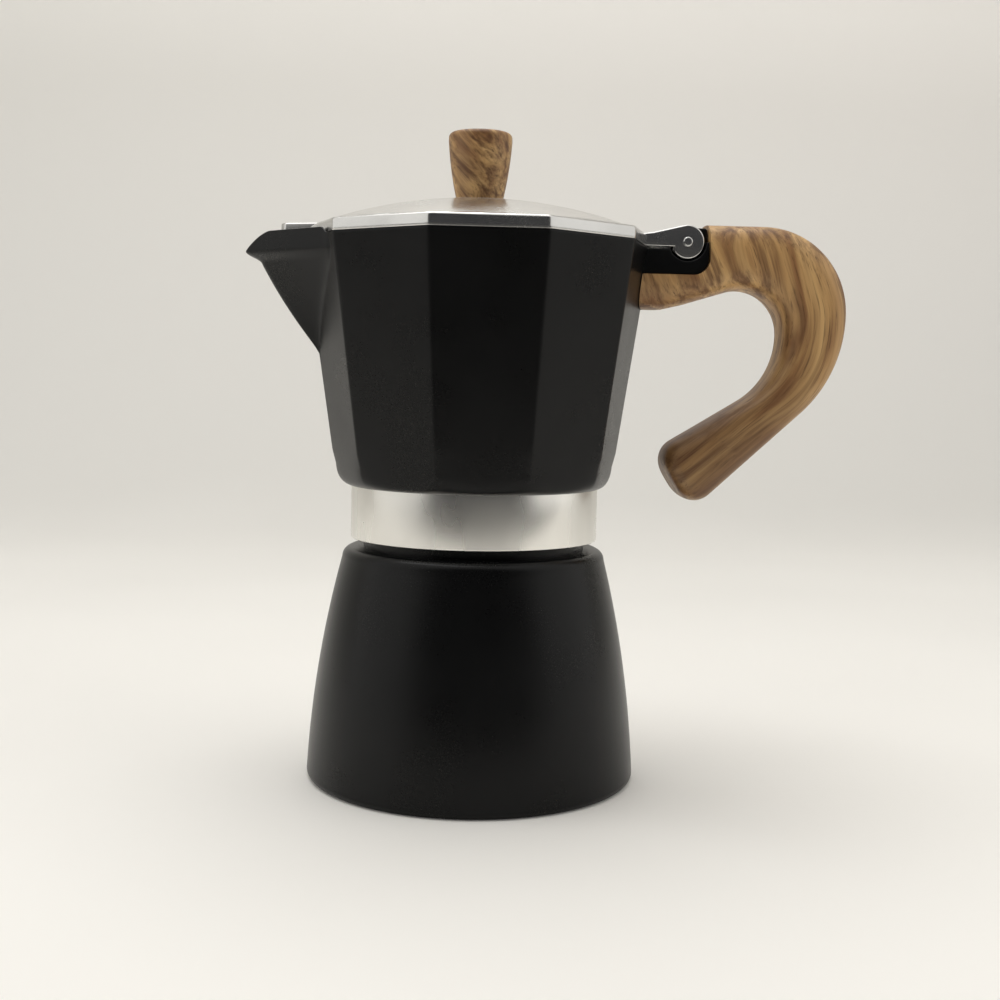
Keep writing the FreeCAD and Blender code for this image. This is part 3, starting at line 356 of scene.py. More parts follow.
def make_jug():
    """Closed wall of the jug: at each angle the profile runs out under the foot, up outside, over the rim and
    down inside to the floor.  The foot's quarter round limits the reach of the lowest levels."""
    angle = jug_angles()[:, None]
    floor_round = 3.0
    turn = np.linspace(0, math.pi / 2, 14)[None, :]
    foot_inner = collar_radius - 1.0
    foot_level = plate_top + jug_foot_round * (1 - np.cos(turn))
    foot_outer = jug_foot_corner + 0.85
    foot_ring = foot_inner + (foot_outer - foot_inner) * np.sin(turn)
    foot = body_reach(angle, foot_level) ** -FOOT_SHARPNESS + foot_ring ** -FOOT_SHARPNESS
    foot = foot ** (-1 / FOOT_SHARPNESS)
    wall_level = np.concatenate([
        np.linspace(plate_top + jug_foot_round, spout_foot, 9)[1:],
        np.linspace(spout_foot, spout_lip - 3.0, 26)[1:],
        np.linspace(spout_lip - 3.0, jug_rim - 0.4, 22)[1:],
    ])[None, :]

    # The rim stands proud where the spout reaches past the lid's seat, and falls in a curve to the lip.
    rim_reach = jug_reach(angle, jug_rim)
    seat = body_reach(angle, jug_rim) + 0.45
    proud = ease((rim_reach - seat) / 1.2)
    along = -rim_reach * np.cos(angle)
    lip_length = 7.5
    t = np.clip((along - (spout_reach - lip_length)) / lip_length, 0, 1)
    lip_fall = (spout_top - spout_lip - 0.8) * t - 3.2 * t * (1 - t)
    top = jug_rim + (spout_top - jug_rim) * proud - lip_fall * proud
    wall_level = np.minimum(wall_level, np.maximum(top - 0.35, plate_top))
    wall = jug_reach(angle, wall_level)
    inner = jug_reach(angle, np.minimum(top, jug_rim), jug_wall - 0.3 * proud)
    step = np.clip(seat, inner, rim_reach)
    low_top = np.minimum(top, jug_rim)
    outer_top = jug_reach(angle, top)
    rim = [
        (outer_top - 0.12, top - 0.10),
        (outer_top - 0.40, top),
        (np.minimum(step + 0.35, outer_top - 0.41), top),
        (np.minimum(step + 0.05, outer_top - 0.42), np.maximum(top - 0.3, low_top)),
        (np.minimum(step, outer_top - 0.43), low_top),
        (np.minimum(inner + 0.4, outer_top - 0.44), low_top),
        (inner + 0.1, low_top - 0.12),
        (inner, low_top - 0.4),
    ]
    inside_level = np.concatenate([
        np.linspace(jug_rim - 0.8, spout_foot, 34),
        np.linspace(spout_foot, jug_inside + floor_round, 10)[1:],
    ])[None, :]
    inside_level = np.minimum(inside_level, low_top - 0.5)
    inside = jug_reach(angle, inside_level, jug_wall)
    floor_turn = np.linspace(0, math.pi / 2, 7)[None, 1:]
    floor_reach = body_reach(angle, jug_inside, jug_wall) - floor_round * (1 - np.cos(floor_turn))
    floor_level = jug_inside + floor_round * (1 - np.sin(floor_turn)) + angle * 0

    ring = angle * 0
    underside = plate_top + 2.6
    columns = [
        polar_points(angle, ring, underside),
        polar_points(angle, ring + 25.0, underside),
        polar_points(angle, ring + 25.5, plate_top),
        polar_points(angle, ring + collar_bore, plate_top),
        polar_points(angle, foot, foot_level),
        polar_points(angle, wall, wall_level),
    ]
    columns += [polar_points(angle, reach, level) for reach, level in rim]
    columns += [
        polar_points(angle, inside, inside_level),
        polar_points(angle, floor_reach, floor_level),
        polar_points(angle, ring + 24.0, jug_inside),
        polar_points(angle, ring, jug_inside),
    ]
    points = np.concatenate(columns, axis=1)
    return add_mesh("jug", points, grid_faces(points.shape[0], points.shape[1], wrap_rows=True), sharp=26.0)


def make_column():
    """Central column: a tapering tube with a rounded top, dented on two sides by the outlet slots."""
    outside = np.concatenate([
        softened([(13.0, jug_inside - 0.4, 0), (8.0, jug_inside - 0.4, 3.4), (7.9, jug_inside + 8.0, 0)],
                 closed=False),
        np.stack([np.linspace(7.8, 5.85, 70), np.linspace(jug_inside + 9.0, column_top - 3.2, 70)], axis=-1),
        softened([(5.8, column_top - 3.0, 0), (5.7, column_top, 2.9), (0.0, column_top, 0)],
                 closed=False, steps=10),
    ])

    tube_radius, slot_half_width, slot_half_height, slot_depth, slot_drop = 6.0, 1.75, 3.85, 2.3, 8.25

    def outlets(angle, height):
        across = np.abs(np.cos(angle)) * tube_radius
        tall = np.abs(height - (column_top - slot_drop))
        dent = ease((slot_half_width - across) / 0.25) * ease((slot_half_height - tall) / 0.3)
        return -slot_depth * dent * (np.abs(np.sin(angle)) > 0.5)

    return turned("coffee_column", outside, steps=180, ripple=outlets, sharp=40.0)


def make_collar():
    """Bare ring under the jug: bevelled outside, threaded bore."""
    outer = softened([
        (collar_bore, collar_low, 0.15), (collar_radius, collar_low, 0.55),
        (collar_radius, plate_top + 1.2, 0.1), (collar_bore, plate_top + 1.2, 0.1),
    ], closed=True, steps=5)
    bore = level_profile(collar_bore, plate_top - 0.6, collar_low + 0.5, 70)
    ripple = thread(collar_low + 1.8, collar_low + 9.8, -1.0)

    def on_bore(angle, height):
        return ripple(angle, height) * bore_only

    profile = np.concatenate([outer, bore])
    bore_only = np.concatenate([np.zeros(len(outer)), np.ones(len(bore))])[None, :]
    return turned("bare_ring", profile, steps=220, ripple=on_bore, closed=True)


# ---------------------------------------------------------------- boiler

def make_boiler():
    """Turned vessel: gently crowned wall, rounded foot and shoulder, threaded neck, hollow inside."""
    top_inner = shoulder - boiler_wall
    wall_low, wall_high = (boiler_foot_radius, 2.2), (boiler_top_radius, shoulder - 3.2)
    outside = np.concatenate([
        softened([(0.0, 0.0, 0), (boiler_foot_radius - 0.05, 0.0, 2.3), wall_low + (0,)],
                 closed=False, steps=9),
        bow(wall_low, wall_high, 1.7, 40)[1:-1],
        softened([wall_high + (0,), (boiler_top_radius - 0.35, shoulder, 3.1), (neck_radius, shoulder, 0)],
                 closed=False, steps=10),
    ])
    neck = level_profile(neck_radius, shoulder + 0.1, neck_top - 0.7, 96)
    mouth = softened([(neck_radius, neck_top - 0.6, 0), (neck_radius, neck_top, 0.5),
                      (neck_bore, neck_top, 0.5), (neck_bore, top_inner - 0.2, 0)], closed=False, steps=5)
    inner_top, inner_foot = boiler_top_radius - boiler_wall, boiler_foot_radius - boiler_wall
    inside = np.concatenate([
        bow((inner_top, top_inner - 3.2), (inner_foot, 8.0), -1.7, 24),
        softened([(inner_foot, 7.0, 0), (inner_foot, boiler_floor, 2.4), (0.0, boiler_floor, 0)],
                 closed=False, steps=6),
    ])
    profile = np.concatenate([outside, neck, mouth, inside])
    neck_only = np.zeros(len(profile))
    neck_only[len(outside):len(outside) + len(neck)] = 1.0
    ripple = thread(neck_top - 9.4, neck_top - 1.4, 1.0)
    return turned("boiler_vessel", profile, steps=240,
                  ripple=lambda angle, height: ripple(angle, height) * neck_only[None, :])


def make_valve_boss():
    """Round pad on the boiler's back, with a flared foot that runs into the wall."""
    face = corner_mm("valve_washer", 0)[1]
    middle = (corner_mm("valve_washer", 0)[2] + corner_mm("valve_washer", 1)[2]) / 2
    depth, flare = 7.0, 3.4
    profile = softened([(0.0, face - depth, 0), (boss_foot_radius, face - depth, 0),
                        (boss_radius, face - flare, 2.5), (boss_radius, face, 0.7), (0.0, face, 0)],
                       closed=False, steps=8)
    return turned("valve_boss", profile, steps=72, centre=(0, 0, middle), along="y")


# ---------------------------------------------------------------- hinge, lid, knob

def make_lug():
    """Two blocks of the hinge lug: the wide shelf with its round pocket, and the middle knuckle."""
    inner = jug_rim_corner - 6.0
    top = jug_rim - 0.3
    pocket = ear_radius + 0.6
    pocket_start = 58.03
    left = -math.acos((hinge_x - pocket_start) / pocket)
    sweep = np.linspace(0, -math.pi - left, 24)
    hollow = np.stack([hinge_x + pocket * np.cos(sweep), hinge_z + pocket * np.sin(sweep)], axis=-1)
    rounded = softened([(inner, lug_low, 0), (lug_reach, lug_low, lug_round), (lug_reach, hinge_z, 0)],
                       closed=False)
    shelf_outline = np.concatenate([rounded, hollow, np.array([[inner, top]])])
    shelf = slab("hinge_lug", shelf_outline, -ear_outside - 0.1, ear_outside + 0.1, 0.5)
    crown = ear_radius - 0.6
    knuckle_outline = softened([
        (inner, lug_low + 0.9, 0), (lug_reach - 0.1, lug_low + 0.9, lug_round),
        (lug_reach - 0.1, hinge_z + crown, 0.9), (hinge_x - crown, hinge_z + crown, crown * 0.98),
        (hinge_x - crown, top, 0.2), (inner, top, 0),
    ])
    knuckle = slab("hinge_knuckle", knuckle_outline, -5.5, 5.5, 0.45)
    return [shelf, knuckle]


def make_lid():
    """Lid in two pieces.  The cover is a closed shell: ten-sided band below, round dome above (a cap of a
    sphere), hollow underside with a hole for the knob's screw.  The tongue is a thin plate over the spout."""
    angle = jug_angles()[:, None]
    corner = jug_rim_corner * math.cos(FACET_ANGLE / 2)

    def band(inset):
        return soft_least(plane_limits(angle, facet_planes(), [corner - inset] * FACETS), FACET_SHARPNESS)

    edge = 0.95
    turn = np.linspace(0, math.pi / 2, 7)
    curve = (dome_radius ** 2 + dome_rise ** 2) / (2 * dome_rise)

    def dome(radius):
        return lid_band_top + dome_rise - curve + np.sqrt(curve ** 2 - radius ** 2)

    rows = [(band(0.5), jug_rim + 0.02), (band(0.12), jug_rim + 0.14), (band(0.0), jug_rim + 0.5)]
    rows += [(band(0.0), level) for level in np.linspace(jug_rim + 1.0, lid_band_top - edge, 4)]
    dome_edge = dome_radius + 0.02
    for step in turn[1:]:
        rounded = band(edge * (1 - math.cos(step)))
        rows.append((np.maximum(rounded, dome_edge), lid_band_top - edge * (1 - math.sin(step))))
    rows.append((np.maximum(band(edge) * 0.5 + dome_edge * 0.5, dome_radius + 0.01), lid_band_top))
    ring = angle * 0
    for radius in np.linspace(dome_radius, knob_seat_radius + 0.6, 48):
        rows.append((ring + radius, float(dome(radius))))
    rows += [(ring + knob_seat_radius, lid_seat), (ring + knob_hole + 0.1, lid_seat),
             (ring + knob_hole, lid_seat - 0.2), (ring + knob_hole, lid_seat - lid_wall)]
    for radius in np.linspace(knob_seat_radius, lid_inner, 26):
        rows.append((ring + radius, min(float(dome(radius)), lid_seat) - lid_wall))
    rows += [(ring + lid_inner + 0.05, jug_rim + 0.5), (ring + lid_inner + 0.4, jug_rim + 0.02)]
    points = np.concatenate([polar_points(angle, reach, level) for reach, level in rows], axis=1)
    faces = grid_faces(points.shape[0], points.shape[1], wrap_rows=True, wrap_columns=True)
    cover = add_mesh("lid_cover", points, faces, sharp=32.0)

    low = spout_top + 0.3
    high = low + 2.6
    reach = -corner_mm("lid", 0)[0]
    plan = softened([(-tongue_root, -9.6, 0), (-tongue_root, 9.6, 0), (-reach + 1.2, 5.6, 1.4),
                     (-reach, 4.0, 1.2), (-reach, -4.0, 1.2), (-reach + 1.2, -5.6, 1.4)])
    tongue = slab("lid_tongue", plan, low, high, 0.55, flat="z")
    return [cover, tongue]


def make_ears():
    """Two plates that carry the lid: an arm from the band and a round eye about the pin."""
    start = jug_rim_corner - 3.9
    sweep = np.linspace(math.radians(96), math.radians(-146), 40)
    eye = np.stack([hinge_x + ear_radius * np.cos(sweep), hinge_z + ear_radius * np.sin(sweep)], axis=-1)
    arm = softened([(hinge_x - ear_radius * 0.80, jug_rim + 0.35, 0.6), (start, jug_rim + 0.35, 0),
                    (start, lid_band_top + 0.3, 0), (start + 3.0, lid_band_top + 0.7, 1.0)], closed=False)
    outline = np.concatenate([eye, arm])
    near = slab("lid_ear_front", outline, -ear_outside, -ear_inside, 0.55)
    far = slab("lid_ear_back", outline, ear_inside, ear_outside, 0.55)
    return [near, far]


def make_pin():
    """Hinge pin: a straight rod with low domed ends."""
    half = pin_high[1]
    profile = softened([(0.0, -half, 0), (pin_radius, -half, 0.55), (pin_radius, half, 0.55), (0.0, half, 0)],
                       closed=False, steps=6)
    return turned("hinge_rod", profile, steps=48, centre=(hinge_x, 0, hinge_z), along="y", sharp=50.0)


def make_knob():
    """Turned knob: narrow at its foot, sides that flare gently to a flat top with a small round."""
    foot, wide = knob_foot_radius, knob_wide_radius
    top = knob_top - 0.35
    profile = np.concatenate([
        softened([(0.0, lid_seat + 0.02, 0), (foot, lid_seat + 0.02, 0.4), (foot, lid_seat + 0.8, 0)],
                 closed=False),
        bow((foot, lid_seat + 1.0), (wide, top - 2.6), 0.35, 34),
        softened([(wide, top - 2.5, 0), (wide - 0.05, top - 0.1, 1.5), (4.0, top, 3.0), (0.0, top, 0)],
                 closed=False, steps=10),
    ])
    return turned("knob", profile, steps=160, sharp=50.0)


# ---------------------------------------------------------------- handle

def arc_lengths(path):
    """Distance along a path at each of its points."""
    return np.concatenate([[0.0], np.cumsum(np.hypot(*np.diff(path, axis=0).T))])


def along_path(path, where):
    """Points of a path at the given distances along it."""
    lengths = arc_lengths(path)
    return np.stack([np.interp(where, lengths, path[:, 0]), np.interp(where, lengths, path[:, 1])], axis=-1)


def grip_paths():
    """The grip's back and finger side as two paths from the jug to the tail, with the points that pair up.

    Each path runs level to its bend, down, and slantwise to the tail, its bends rounded by arcs; the heel and
    the toe are where the slants end.  The marks number the starts and ends of those arcs."""
    finger = handle_reach - 20.7
    back_low = handle_low - 19.1
    finger_low = handle_low - 20.9
    finger_high = handle_low + 11.2
    heel = handle_reach - 47.9
    heel_up = back_low - (handle_reach - heel) * math.tan(math.radians(42.6))
    toe = handle_reach - 59.4
    toe_up = finger_low - (finger - toe) * math.tan(math.radians(31.0))
    bend = finger - (finger_high - handle_low) / math.tan(math.radians(17.1))
    root = jug_rim_corner - 7.5
    end = ((heel + toe) / 2, (heel_up + toe_up) / 2)
    back = softened([(root, handle_top, 0), (handle_reach, handle_top, 26.6), (handle_reach, back_low, 41.6),
                     (heel, heel_up, 6.8), end + (0,)], closed=False, steps=24)
    front = softened([(root, handle_low, 0), (bend, handle_low, 25.0), (finger, finger_high, 13.4),
                      (finger, finger_low, 24.0), (toe, toe_up, 6.8), end + (0,)], closed=False, steps=24)
    back_marks = [0, 1, 25, 26, 50, 51, len(back) - 1]
    front_marks = [0, 26, 50, 51, 75, 76, len(front) - 1]
    return back, front, back_marks, front_marks


def make_handle():
    """Grip: at each station along its way a soft-cornered oval (cosine and sine to the power 2/3) spans from
    the finger side to the back.  The jug, the lug and the sunk screw are then cut out of it."""
    back, front, back_marks, front_marks = grip_paths()
    back_lengths, front_lengths = arc_lengths(back), arc_lengths(front)
    stations = np.concatenate([np.linspace(0, 5, 150)[:-1], 5 + np.sin(np.linspace(0, math.pi / 2, 34))])
    marks = np.arange(7)
    outer = along_path(back, np.interp(stations, marks, back_lengths[back_marks]))
    inner = along_path(front, np.interp(stations, marks, front_lengths[front_marks]))
    middle = (outer + inner) / 2
    half = (outer - inner) / 2
    thickness = np.hypot(half[:, 0], half[:, 1])
    full = thickness[-40]
    width = handle_half * np.clip(thickness / full, 0, 1) ** 0.42
    width = np.where(stations < 4.6, handle_half, np.minimum(width, handle_half))
    turn = np.linspace(0, 2 * math.pi, 64, endpoint=False)[None, :]
    power = 2 / 3.0
    up = np.sign(np.cos(turn)) * np.abs(np.cos(turn)) ** power
    side = np.sign(np.sin(turn)) * np.abs(np.sin(turn)) ** power
    points = np.stack([
        middle[:, 0:1] + half[:, 0:1] * up,
        width[:, None] * side,
        middle[:, 1:2] + half[:, 1:2] * up,
    ], axis=-1)
    count = turn.shape[1]
    faces = grid_faces(len(stations), count, wrap_columns=True)
    faces.append(list(range(count))[::-1])
    grip = add_mesh("grip", points, faces, sharp=50.0)

    cut_away(grip, [jug_space(), lug_space(), screw_space()])
    add_grain_way(grip.data, middle)
    return grip


def jug_space():
    """The ten-sided jug beside the grip, grown by the gap, from below the grip to above it."""
    levels = np.array([handle_low - 4.0, handle_top + 4.0])
    radii = jug_foot_corner + corner_slope * (levels - plate_top) + handle_gap / math.cos(FACET_ANGLE / 2)
    facets = np.arange(FACETS) * FACET_ANGLE
    rings = np.stack([np.stack([r * np.cos(facets), r * np.sin(facets), facets * 0 + z], axis=-1)
                      for r, z in zip(radii, levels)])
    caps = [list(range(FACETS))[::-1], list(range(FACETS, 2 * FACETS))]
    return add_mesh("jug_space", rings, grid_faces(2, FACETS, wrap_columns=True) + caps)


def lug_space():
    """The hinge lug, grown by the gap and open upwards."""
    inner, outer, top = 30.0, lug_reach + handle_gap, handle_top + 8.0
    recess = softened([(inner, lug_low, 0), (outer, lug_low, lug_round + handle_gap), (outer, top, 0),
                       (inner, top, 0)], steps=10)
    return slab("lug_space", recess, -20.0, 20.0, 0.01)


def screw_space():
    """Sunk hole for the handle's screw: wide for its head, narrow for its shank."""
    head, shank = 3.7, 2.15
    middle = (corner_mm("handle_screw", 0)[0] + corner_mm("handle_screw", 1)[0]) / 2
    low, ledge, high = handle_low - 3.0, handle_low + 4.0, lug_low + 1.0
    sink = np.array([(0.0, low), (head, low), (head, ledge), (shank, ledge), (shank, high), (0.0, high)])
    return turned("screw_space", sink, steps=48, centre=(middle, 0, 0))


def cut_away(piece, cutters):
    """Take the cutters out of the piece, for good, and delete them."""
    for cutter in cutters:
        cut = piece.modifiers.new("cut", "BOOLEAN")
        cut.operation = "DIFFERENCE"
        cut.solver = "EXACT"
        cut.object = cutter
    bpy.context.view_layer.update()
    result = bpy.data.meshes.new_from_object(piece.evaluated_get(bpy.context.evaluated_depsgraph_get()))
    piece.modifiers.clear()
    piece.data = result
    for cutter in cutters:
        bpy.data.objects.remove(cutter)
    result.shade_smooth()
    result.set_sharp_from_angle(angle=math.radians(40))


def add_grain_way(mesh, line):
    """Point attribute for the grain, in metres: distance along the grain's line, offset from it, and depth.

    The grain's line is the grip's middle line from where it falls steeply, run straight up above that,
    so that the streaks cross the top of the grip nearly upright and follow the bend below.
    """
    co = np.zeros(len(mesh.vertices) * 3)
    mesh.vertices.foreach_get("co", co)
    co = co.reshape(-1, 3) / MM
    steps = np.diff(line, axis=0)
    steps /= np.hypot(steps[:, 0], steps[:, 1])[:, None]
    first = int(np.argmax(steps[:, 1] < -GRAIN_FALL))
    line = np.concatenate([[line[first] - steps[first] * GRAIN_RUN_UP], line[first:]])
    lengths = arc_lengths(line)
    fine = along_path(line, np.linspace(0, lengths[-1], 400))
    fine_lengths = np.linspace(0, lengths[-1], 400)
    way = np.gradient(fine, axis=0)
    way /= np.hypot(way[:, 0], way[:, 1])[:, None]
    gap = co[:, None, [0, 2]] - fine[None]
    nearest = np.argmin((gap ** 2).sum(axis=2), axis=1)
    rest = gap[np.arange(len(co)), nearest]
    ahead = (rest * way[nearest]).sum(axis=1)
    aside = rest[:, 0] * -way[nearest, 1] + rest[:, 1] * way[nearest, 0]
    values = np.stack([fine_lengths[nearest] + ahead, aside, co[:, 1]], axis=-1) * MM
    attribute = mesh.attributes.new("grain_way", "FLOAT_VECTOR", "POINT")
    attribute.data.foreach_set("vector", values.astype(np.float32).ravel())


# ---------------------------------------------------------------- finishes

def new_group(name, inputs, outputs):
    """Empty shader node group with the given (name, socket type, default) inputs and outputs."""
    group = bpy.data.node_groups.new(name, "ShaderNodeTree")
    for label, kind, default in inputs:
        socket = group.interface.new_socket(label, in_out="INPUT", socket_type=kind)
        if default is not None:
            socket.default_value = default
    for label, kind in outputs:
        group.interface.new_socket(label, in_out="OUTPUT", socket_type=kind)
    group.nodes.new("NodeGroupInput")
    group.nodes.new("NodeGroupOutput")
    return group


def ends(group):
    """Sockets that feed a group and sockets that it gives out."""
    nodes = {node.bl_idname: node for node in group.nodes}
    return nodes["NodeGroupInput"].outputs, nodes["NodeGroupOutput"].inputs


def node(tree, kind, links=None, **settings):
    """Node with its settings; links maps an input's name or number to an output socket or a plain value."""
    made = tree.nodes.new(kind)
    for key, value in settings.items():
        setattr(made, key, value)
    for key, value in (links or {}).items():
        if isinstance(value, bpy.types.NodeSocket):
            tree.links.new(value, made.inputs[key])
        else:
            made.inputs[key].default_value = value
    return made


def maths(tree, operation, first, second=0.0, third=0.0):
    """One sum on up to three values."""
    return node(tree, "ShaderNodeMath", {0: first, 1: second, 2: third}, operation=operation).outputs[0]


def noise(tree, vector, scale, detail=3.0, roughness=0.5, distortion=0.0):
    """Noise from 0 to 1 with `scale` cells a metre."""
    links = {"Vector": vector, "Scale": scale, "Detail": detail, "Roughness": roughness,
             "Distortion": distortion}
    return node(tree, "ShaderNodeTexNoise", links).outputs["Fac"]


def spread(tree, value, low, high):
    """Map 0.3 to 0.7, where noise mostly lies, smoothly onto low to high."""
    links = {"Value": value, "From Min": 0.3, "From Max": 0.7, "To Min": low, "To Max": high}
    return node(tree, "ShaderNodeMapRange", links, interpolation_type="SMOOTHSTEP").outputs[0]


def blend_colours(tree, share, first, second):
    """First colour where the share is 0, second colour where it is 1."""
    return node(tree, "ShaderNodeMix", {0: share, 6: first, 7: second}, data_type="RGBA").outputs[2]


def fine_skin_group():
    """Cast and coated skin: fine height speckle, wide patches and a roughness that follows both."""
    group = new_group("fine_skin", [
        ("Vector", "NodeSocketVector", None), ("Speckle", "NodeSocketFloat", 1800.0),
        ("Patch", "NodeSocketFloat", 45.0), ("Rough Low", "NodeSocketFloat", 0.3),
        ("Rough High", "NodeSocketFloat", 0.4),
    ], [("Height", "NodeSocketFloat"), ("Roughness", "NodeSocketFloat"), ("Patches", "NodeSocketFloat")])
    into, out = ends(group)
    speckle = noise(group, into["Vector"], into["Speckle"], 2.0)
    patch = noise(group, into["Vector"], into["Patch"], 2.0)
    mixed = maths(group, "MULTIPLY_ADD", speckle, 0.35, maths(group, "MULTIPLY", patch, 0.65))
    links = {"Value": mixed, "From Min": 0.35, "From Max": 0.65, "To Min": into["Rough Low"],
             "To Max": into["Rough High"]}
    rough = node(group, "ShaderNodeMapRange", links)
    group.links.new(speckle, out["Height"])
    group.links.new(rough.outputs[0], out["Roughness"])
    group.links.new(patch, out["Patches"])
    return group


def turning_group():
    """Lathe marks: fine rings about Z, broken up a little round the circle, with faint stains over them."""
    group = new_group("turning_marks", [
        ("Vector", "NodeSocketVector", None), ("Rings", "NodeSocketFloat", 5200.0),
        ("Stain", "NodeSocketFloat", 55.0),
    ], [("Height", "NodeSocketFloat"), ("Stains", "NodeSocketFloat")])
    into, out = ends(group)
    stretch = node(group, "ShaderNodeVectorMath", {0: into["Vector"], 1: (0.02, 0.02, 1.0)},
                   operation="MULTIPLY")
    rings = noise(group, stretch.outputs[0], into["Rings"], 4.0, 0.65)
    tall = node(group, "ShaderNodeVectorMath", {0: into["Vector"], 1: (1.0, 1.0, 0.35)}, operation="MULTIPLY")
    stains = noise(group, tall.outputs[0], into["Stain"], 2.0)
    group.links.new(rings, out["Height"])
    group.links.new(stains, out["Stains"])
    return group


def grain_group():
    """Wood print: streaks along the first axis, bent by slow waves, with dark pores and broad warm bands."""
    group = new_group("wood_streaks", [
        ("Vector", "NodeSocketVector", None), ("Swirl", "NodeSocketFloat", 0.004),
        ("Streak", "NodeSocketFloat", 330.0), ("Broad", "NodeSocketFloat", 95.0),
        ("Depth", "NodeSocketFloat", 0.8),
    ], [("Colour", "NodeSocketColor"), ("Height", "NodeSocketFloat")])
    into, out = ends(group)

    def vectors(operation, first, second):
        return node(group, "ShaderNodeVectorMath", {0: first, 1: second}, operation=operation).outputs[0]

    long_axis = vectors("MULTIPLY", into["Vector"], (0.16, 1.0, 1.0))
    wave = node(group, "ShaderNodeTexNoise", {"Vector": long_axis, "Scale": 60.0, "Detail": 2.0})
    centred = vectors("SUBTRACT", wave.outputs["Color"], (0.5, 0.5, 0.5))
    pushed = node(group, "ShaderNodeVectorMath", {0: centred, "Scale": into["Swirl"]}, operation="SCALE")
    bent = vectors("ADD", long_axis, pushed.outputs[0])
    fine_axis = vectors("MULTIPLY", bent, (0.25, 1.0, 1.0))
    streak = noise(group, fine_axis, into["Streak"], 4.0, 0.62)
    hair = noise(group, fine_axis, 1500.0, 3.0, 0.6)
    broad = noise(group, bent, into["Broad"], 3.0, 0.55, 0.6)
    ramp = node(group, "ShaderNodeValToRGB", {"Fac": broad})
    stops = ramp.color_ramp.elements
    stops[0].position, stops[0].color = 0.34, (0.300, 0.140, 0.050, 1)
    stops[1].position, stops[1].color = 0.68, (0.700, 0.440, 0.185, 1)
    middle = stops.new(0.50)
    middle.color = (0.540, 0.315, 0.122, 1)
    dark = maths(group, "POWER", spread(group, streak, 1.0, 0.0), 1.5)
    dark = maths(group, "MULTIPLY", dark, into["Depth"])
    streaked = blend_colours(group, dark, ramp.outputs["Color"], (0.150, 0.064, 0.022, 1))
    links = {"Value": hair, "From Min": 0.56, "From Max": 0.72, "To Min": 0.0, "To Max": 0.75}
    hairs = node(group, "ShaderNodeMapRange", links)
    final = blend_colours(group, hairs.outputs[0], streaked, (0.085, 0.036, 0.013, 1))
    group.links.new(final, out["Colour"])
    height = maths(group, "MULTIPLY_ADD", streak, 0.6, maths(group, "MULTIPLY", hair, -0.4))
    group.links.new(height, out["Height"])
    return group


fine_skin = fine_skin_group()
turning = turning_group()
wood_streaks = grain_group()


def new_material(name, colour, metallic, rough, **sockets):
    """Material with a Principled shader; sockets sets its plain values by name."""
    material = bpy.data.materials.new(name)
    material.use_nodes = True
    tree = material.node_tree
    shader = next(n for n in tree.nodes if n.bl_idname == "ShaderNodeBsdfPrincipled")
    shader.inputs["Base Color"].default_value = colour + (1,)
    shader.inputs["Metallic"].default_value = metallic
    shader.inputs["Roughness"].default_value = rough
    for key, value in sockets.items():
        shader.inputs[key.replace("_", " ")].default_value = value
    place = node(tree, "ShaderNodeTexCoord").outputs["Object"]
    return material, tree, shader, place


def use_group(tree, group, vector, **values):
    """Node that runs a group on a vector; values sets the group's other inputs by name."""
    made = node(tree, "ShaderNodeGroup", node_tree=group)
    tree.links.new(vector, made.inputs["Vector"])
    for key, value in values.items():
        made.inputs[key.replace("_", " ")].default_value = value
    return made


def bump(tree, shader, height, strength, distance):
    """Bump of the shader's normal; the distance is in millimetres."""
    links = {"Height": height, "Strength": strength, "Distance": distance * MM}
    made = node(tree, "ShaderNodeBump", links)
    tree.links.new(made.outputs[0], shader.inputs["Normal"])


def coated(name, colour, low, high, ior=1.5):
    """Matt coating or rubber: faint lighter patches, fine orange-peel skin."""
    material, tree, shader, place = new_material(name, colour, 0.0, low, IOR=ior)
    skin = use_group(tree, fine_skin, place, Speckle=1500.0, Patch=38.0, Rough_Low=low, Rough_High=high)
    lighter = tuple(min(c * 1.9, 1.0) for c in colour) + (1,)
    tint = blend_colours(tree, spread(tree, skin.outputs["Patches"], 0.0, 0.6), colour + (1,), lighter)
    tree.links.new(tint, shader.inputs["Base Color"])
    tree.links.new(skin.outputs["Roughness"], shader.inputs["Roughness"])
    bump(tree, shader, skin.outputs["Height"], 0.05, 0.05)
    return material


def machined(name, colour, low, high, rings=5200.0):
    """Bare turned metal: lathe rings in the height, stains in the colour and roughness."""
    stain = 0.35
    material, tree, shader, place = new_material(name, colour, 1.0, low)
    marks = use_group(tree, turning, place, Rings=rings)
    darker = tuple(c * (1 - 0.30 * stain) for c in colour) + (1,)
    tint = blend_colours(tree, spread(tree, marks.outputs["Stains"], 0.0, 1.0), colour + (1,), darker)
    tree.links.new(tint, shader.inputs["Base Color"])
    tree.links.new(spread(tree, marks.outputs["Stains"], low, high), shader.inputs["Roughness"])
    bump(tree, shader, marks.outputs["Height"], 0.12, 0.03)
    return material


def polished(name, colour, low, high):
    """Polished or plated metal: smooth, with smudged patches of roughness."""
    material, tree, shader, place = new_material(name, colour, 1.0, low)
    skin = use_group(tree, fine_skin, place, Speckle=900.0, Patch=60.0, Rough_Low=low, Rough_High=high)
    darker = tuple(c * 0.9 for c in colour) + (1,)
    tint = blend_colours(tree, spread(tree, skin.outputs["Patches"], 0.0, 0.8), colour + (1,), darker)
    tree.links.new(tint, shader.inputs["Base Color"])
    tree.links.new(skin.outputs["Roughness"], shader.inputs["Roughness"])
    bump(tree, shader, skin.outputs["Height"], 0.05, 0.04)
    return material


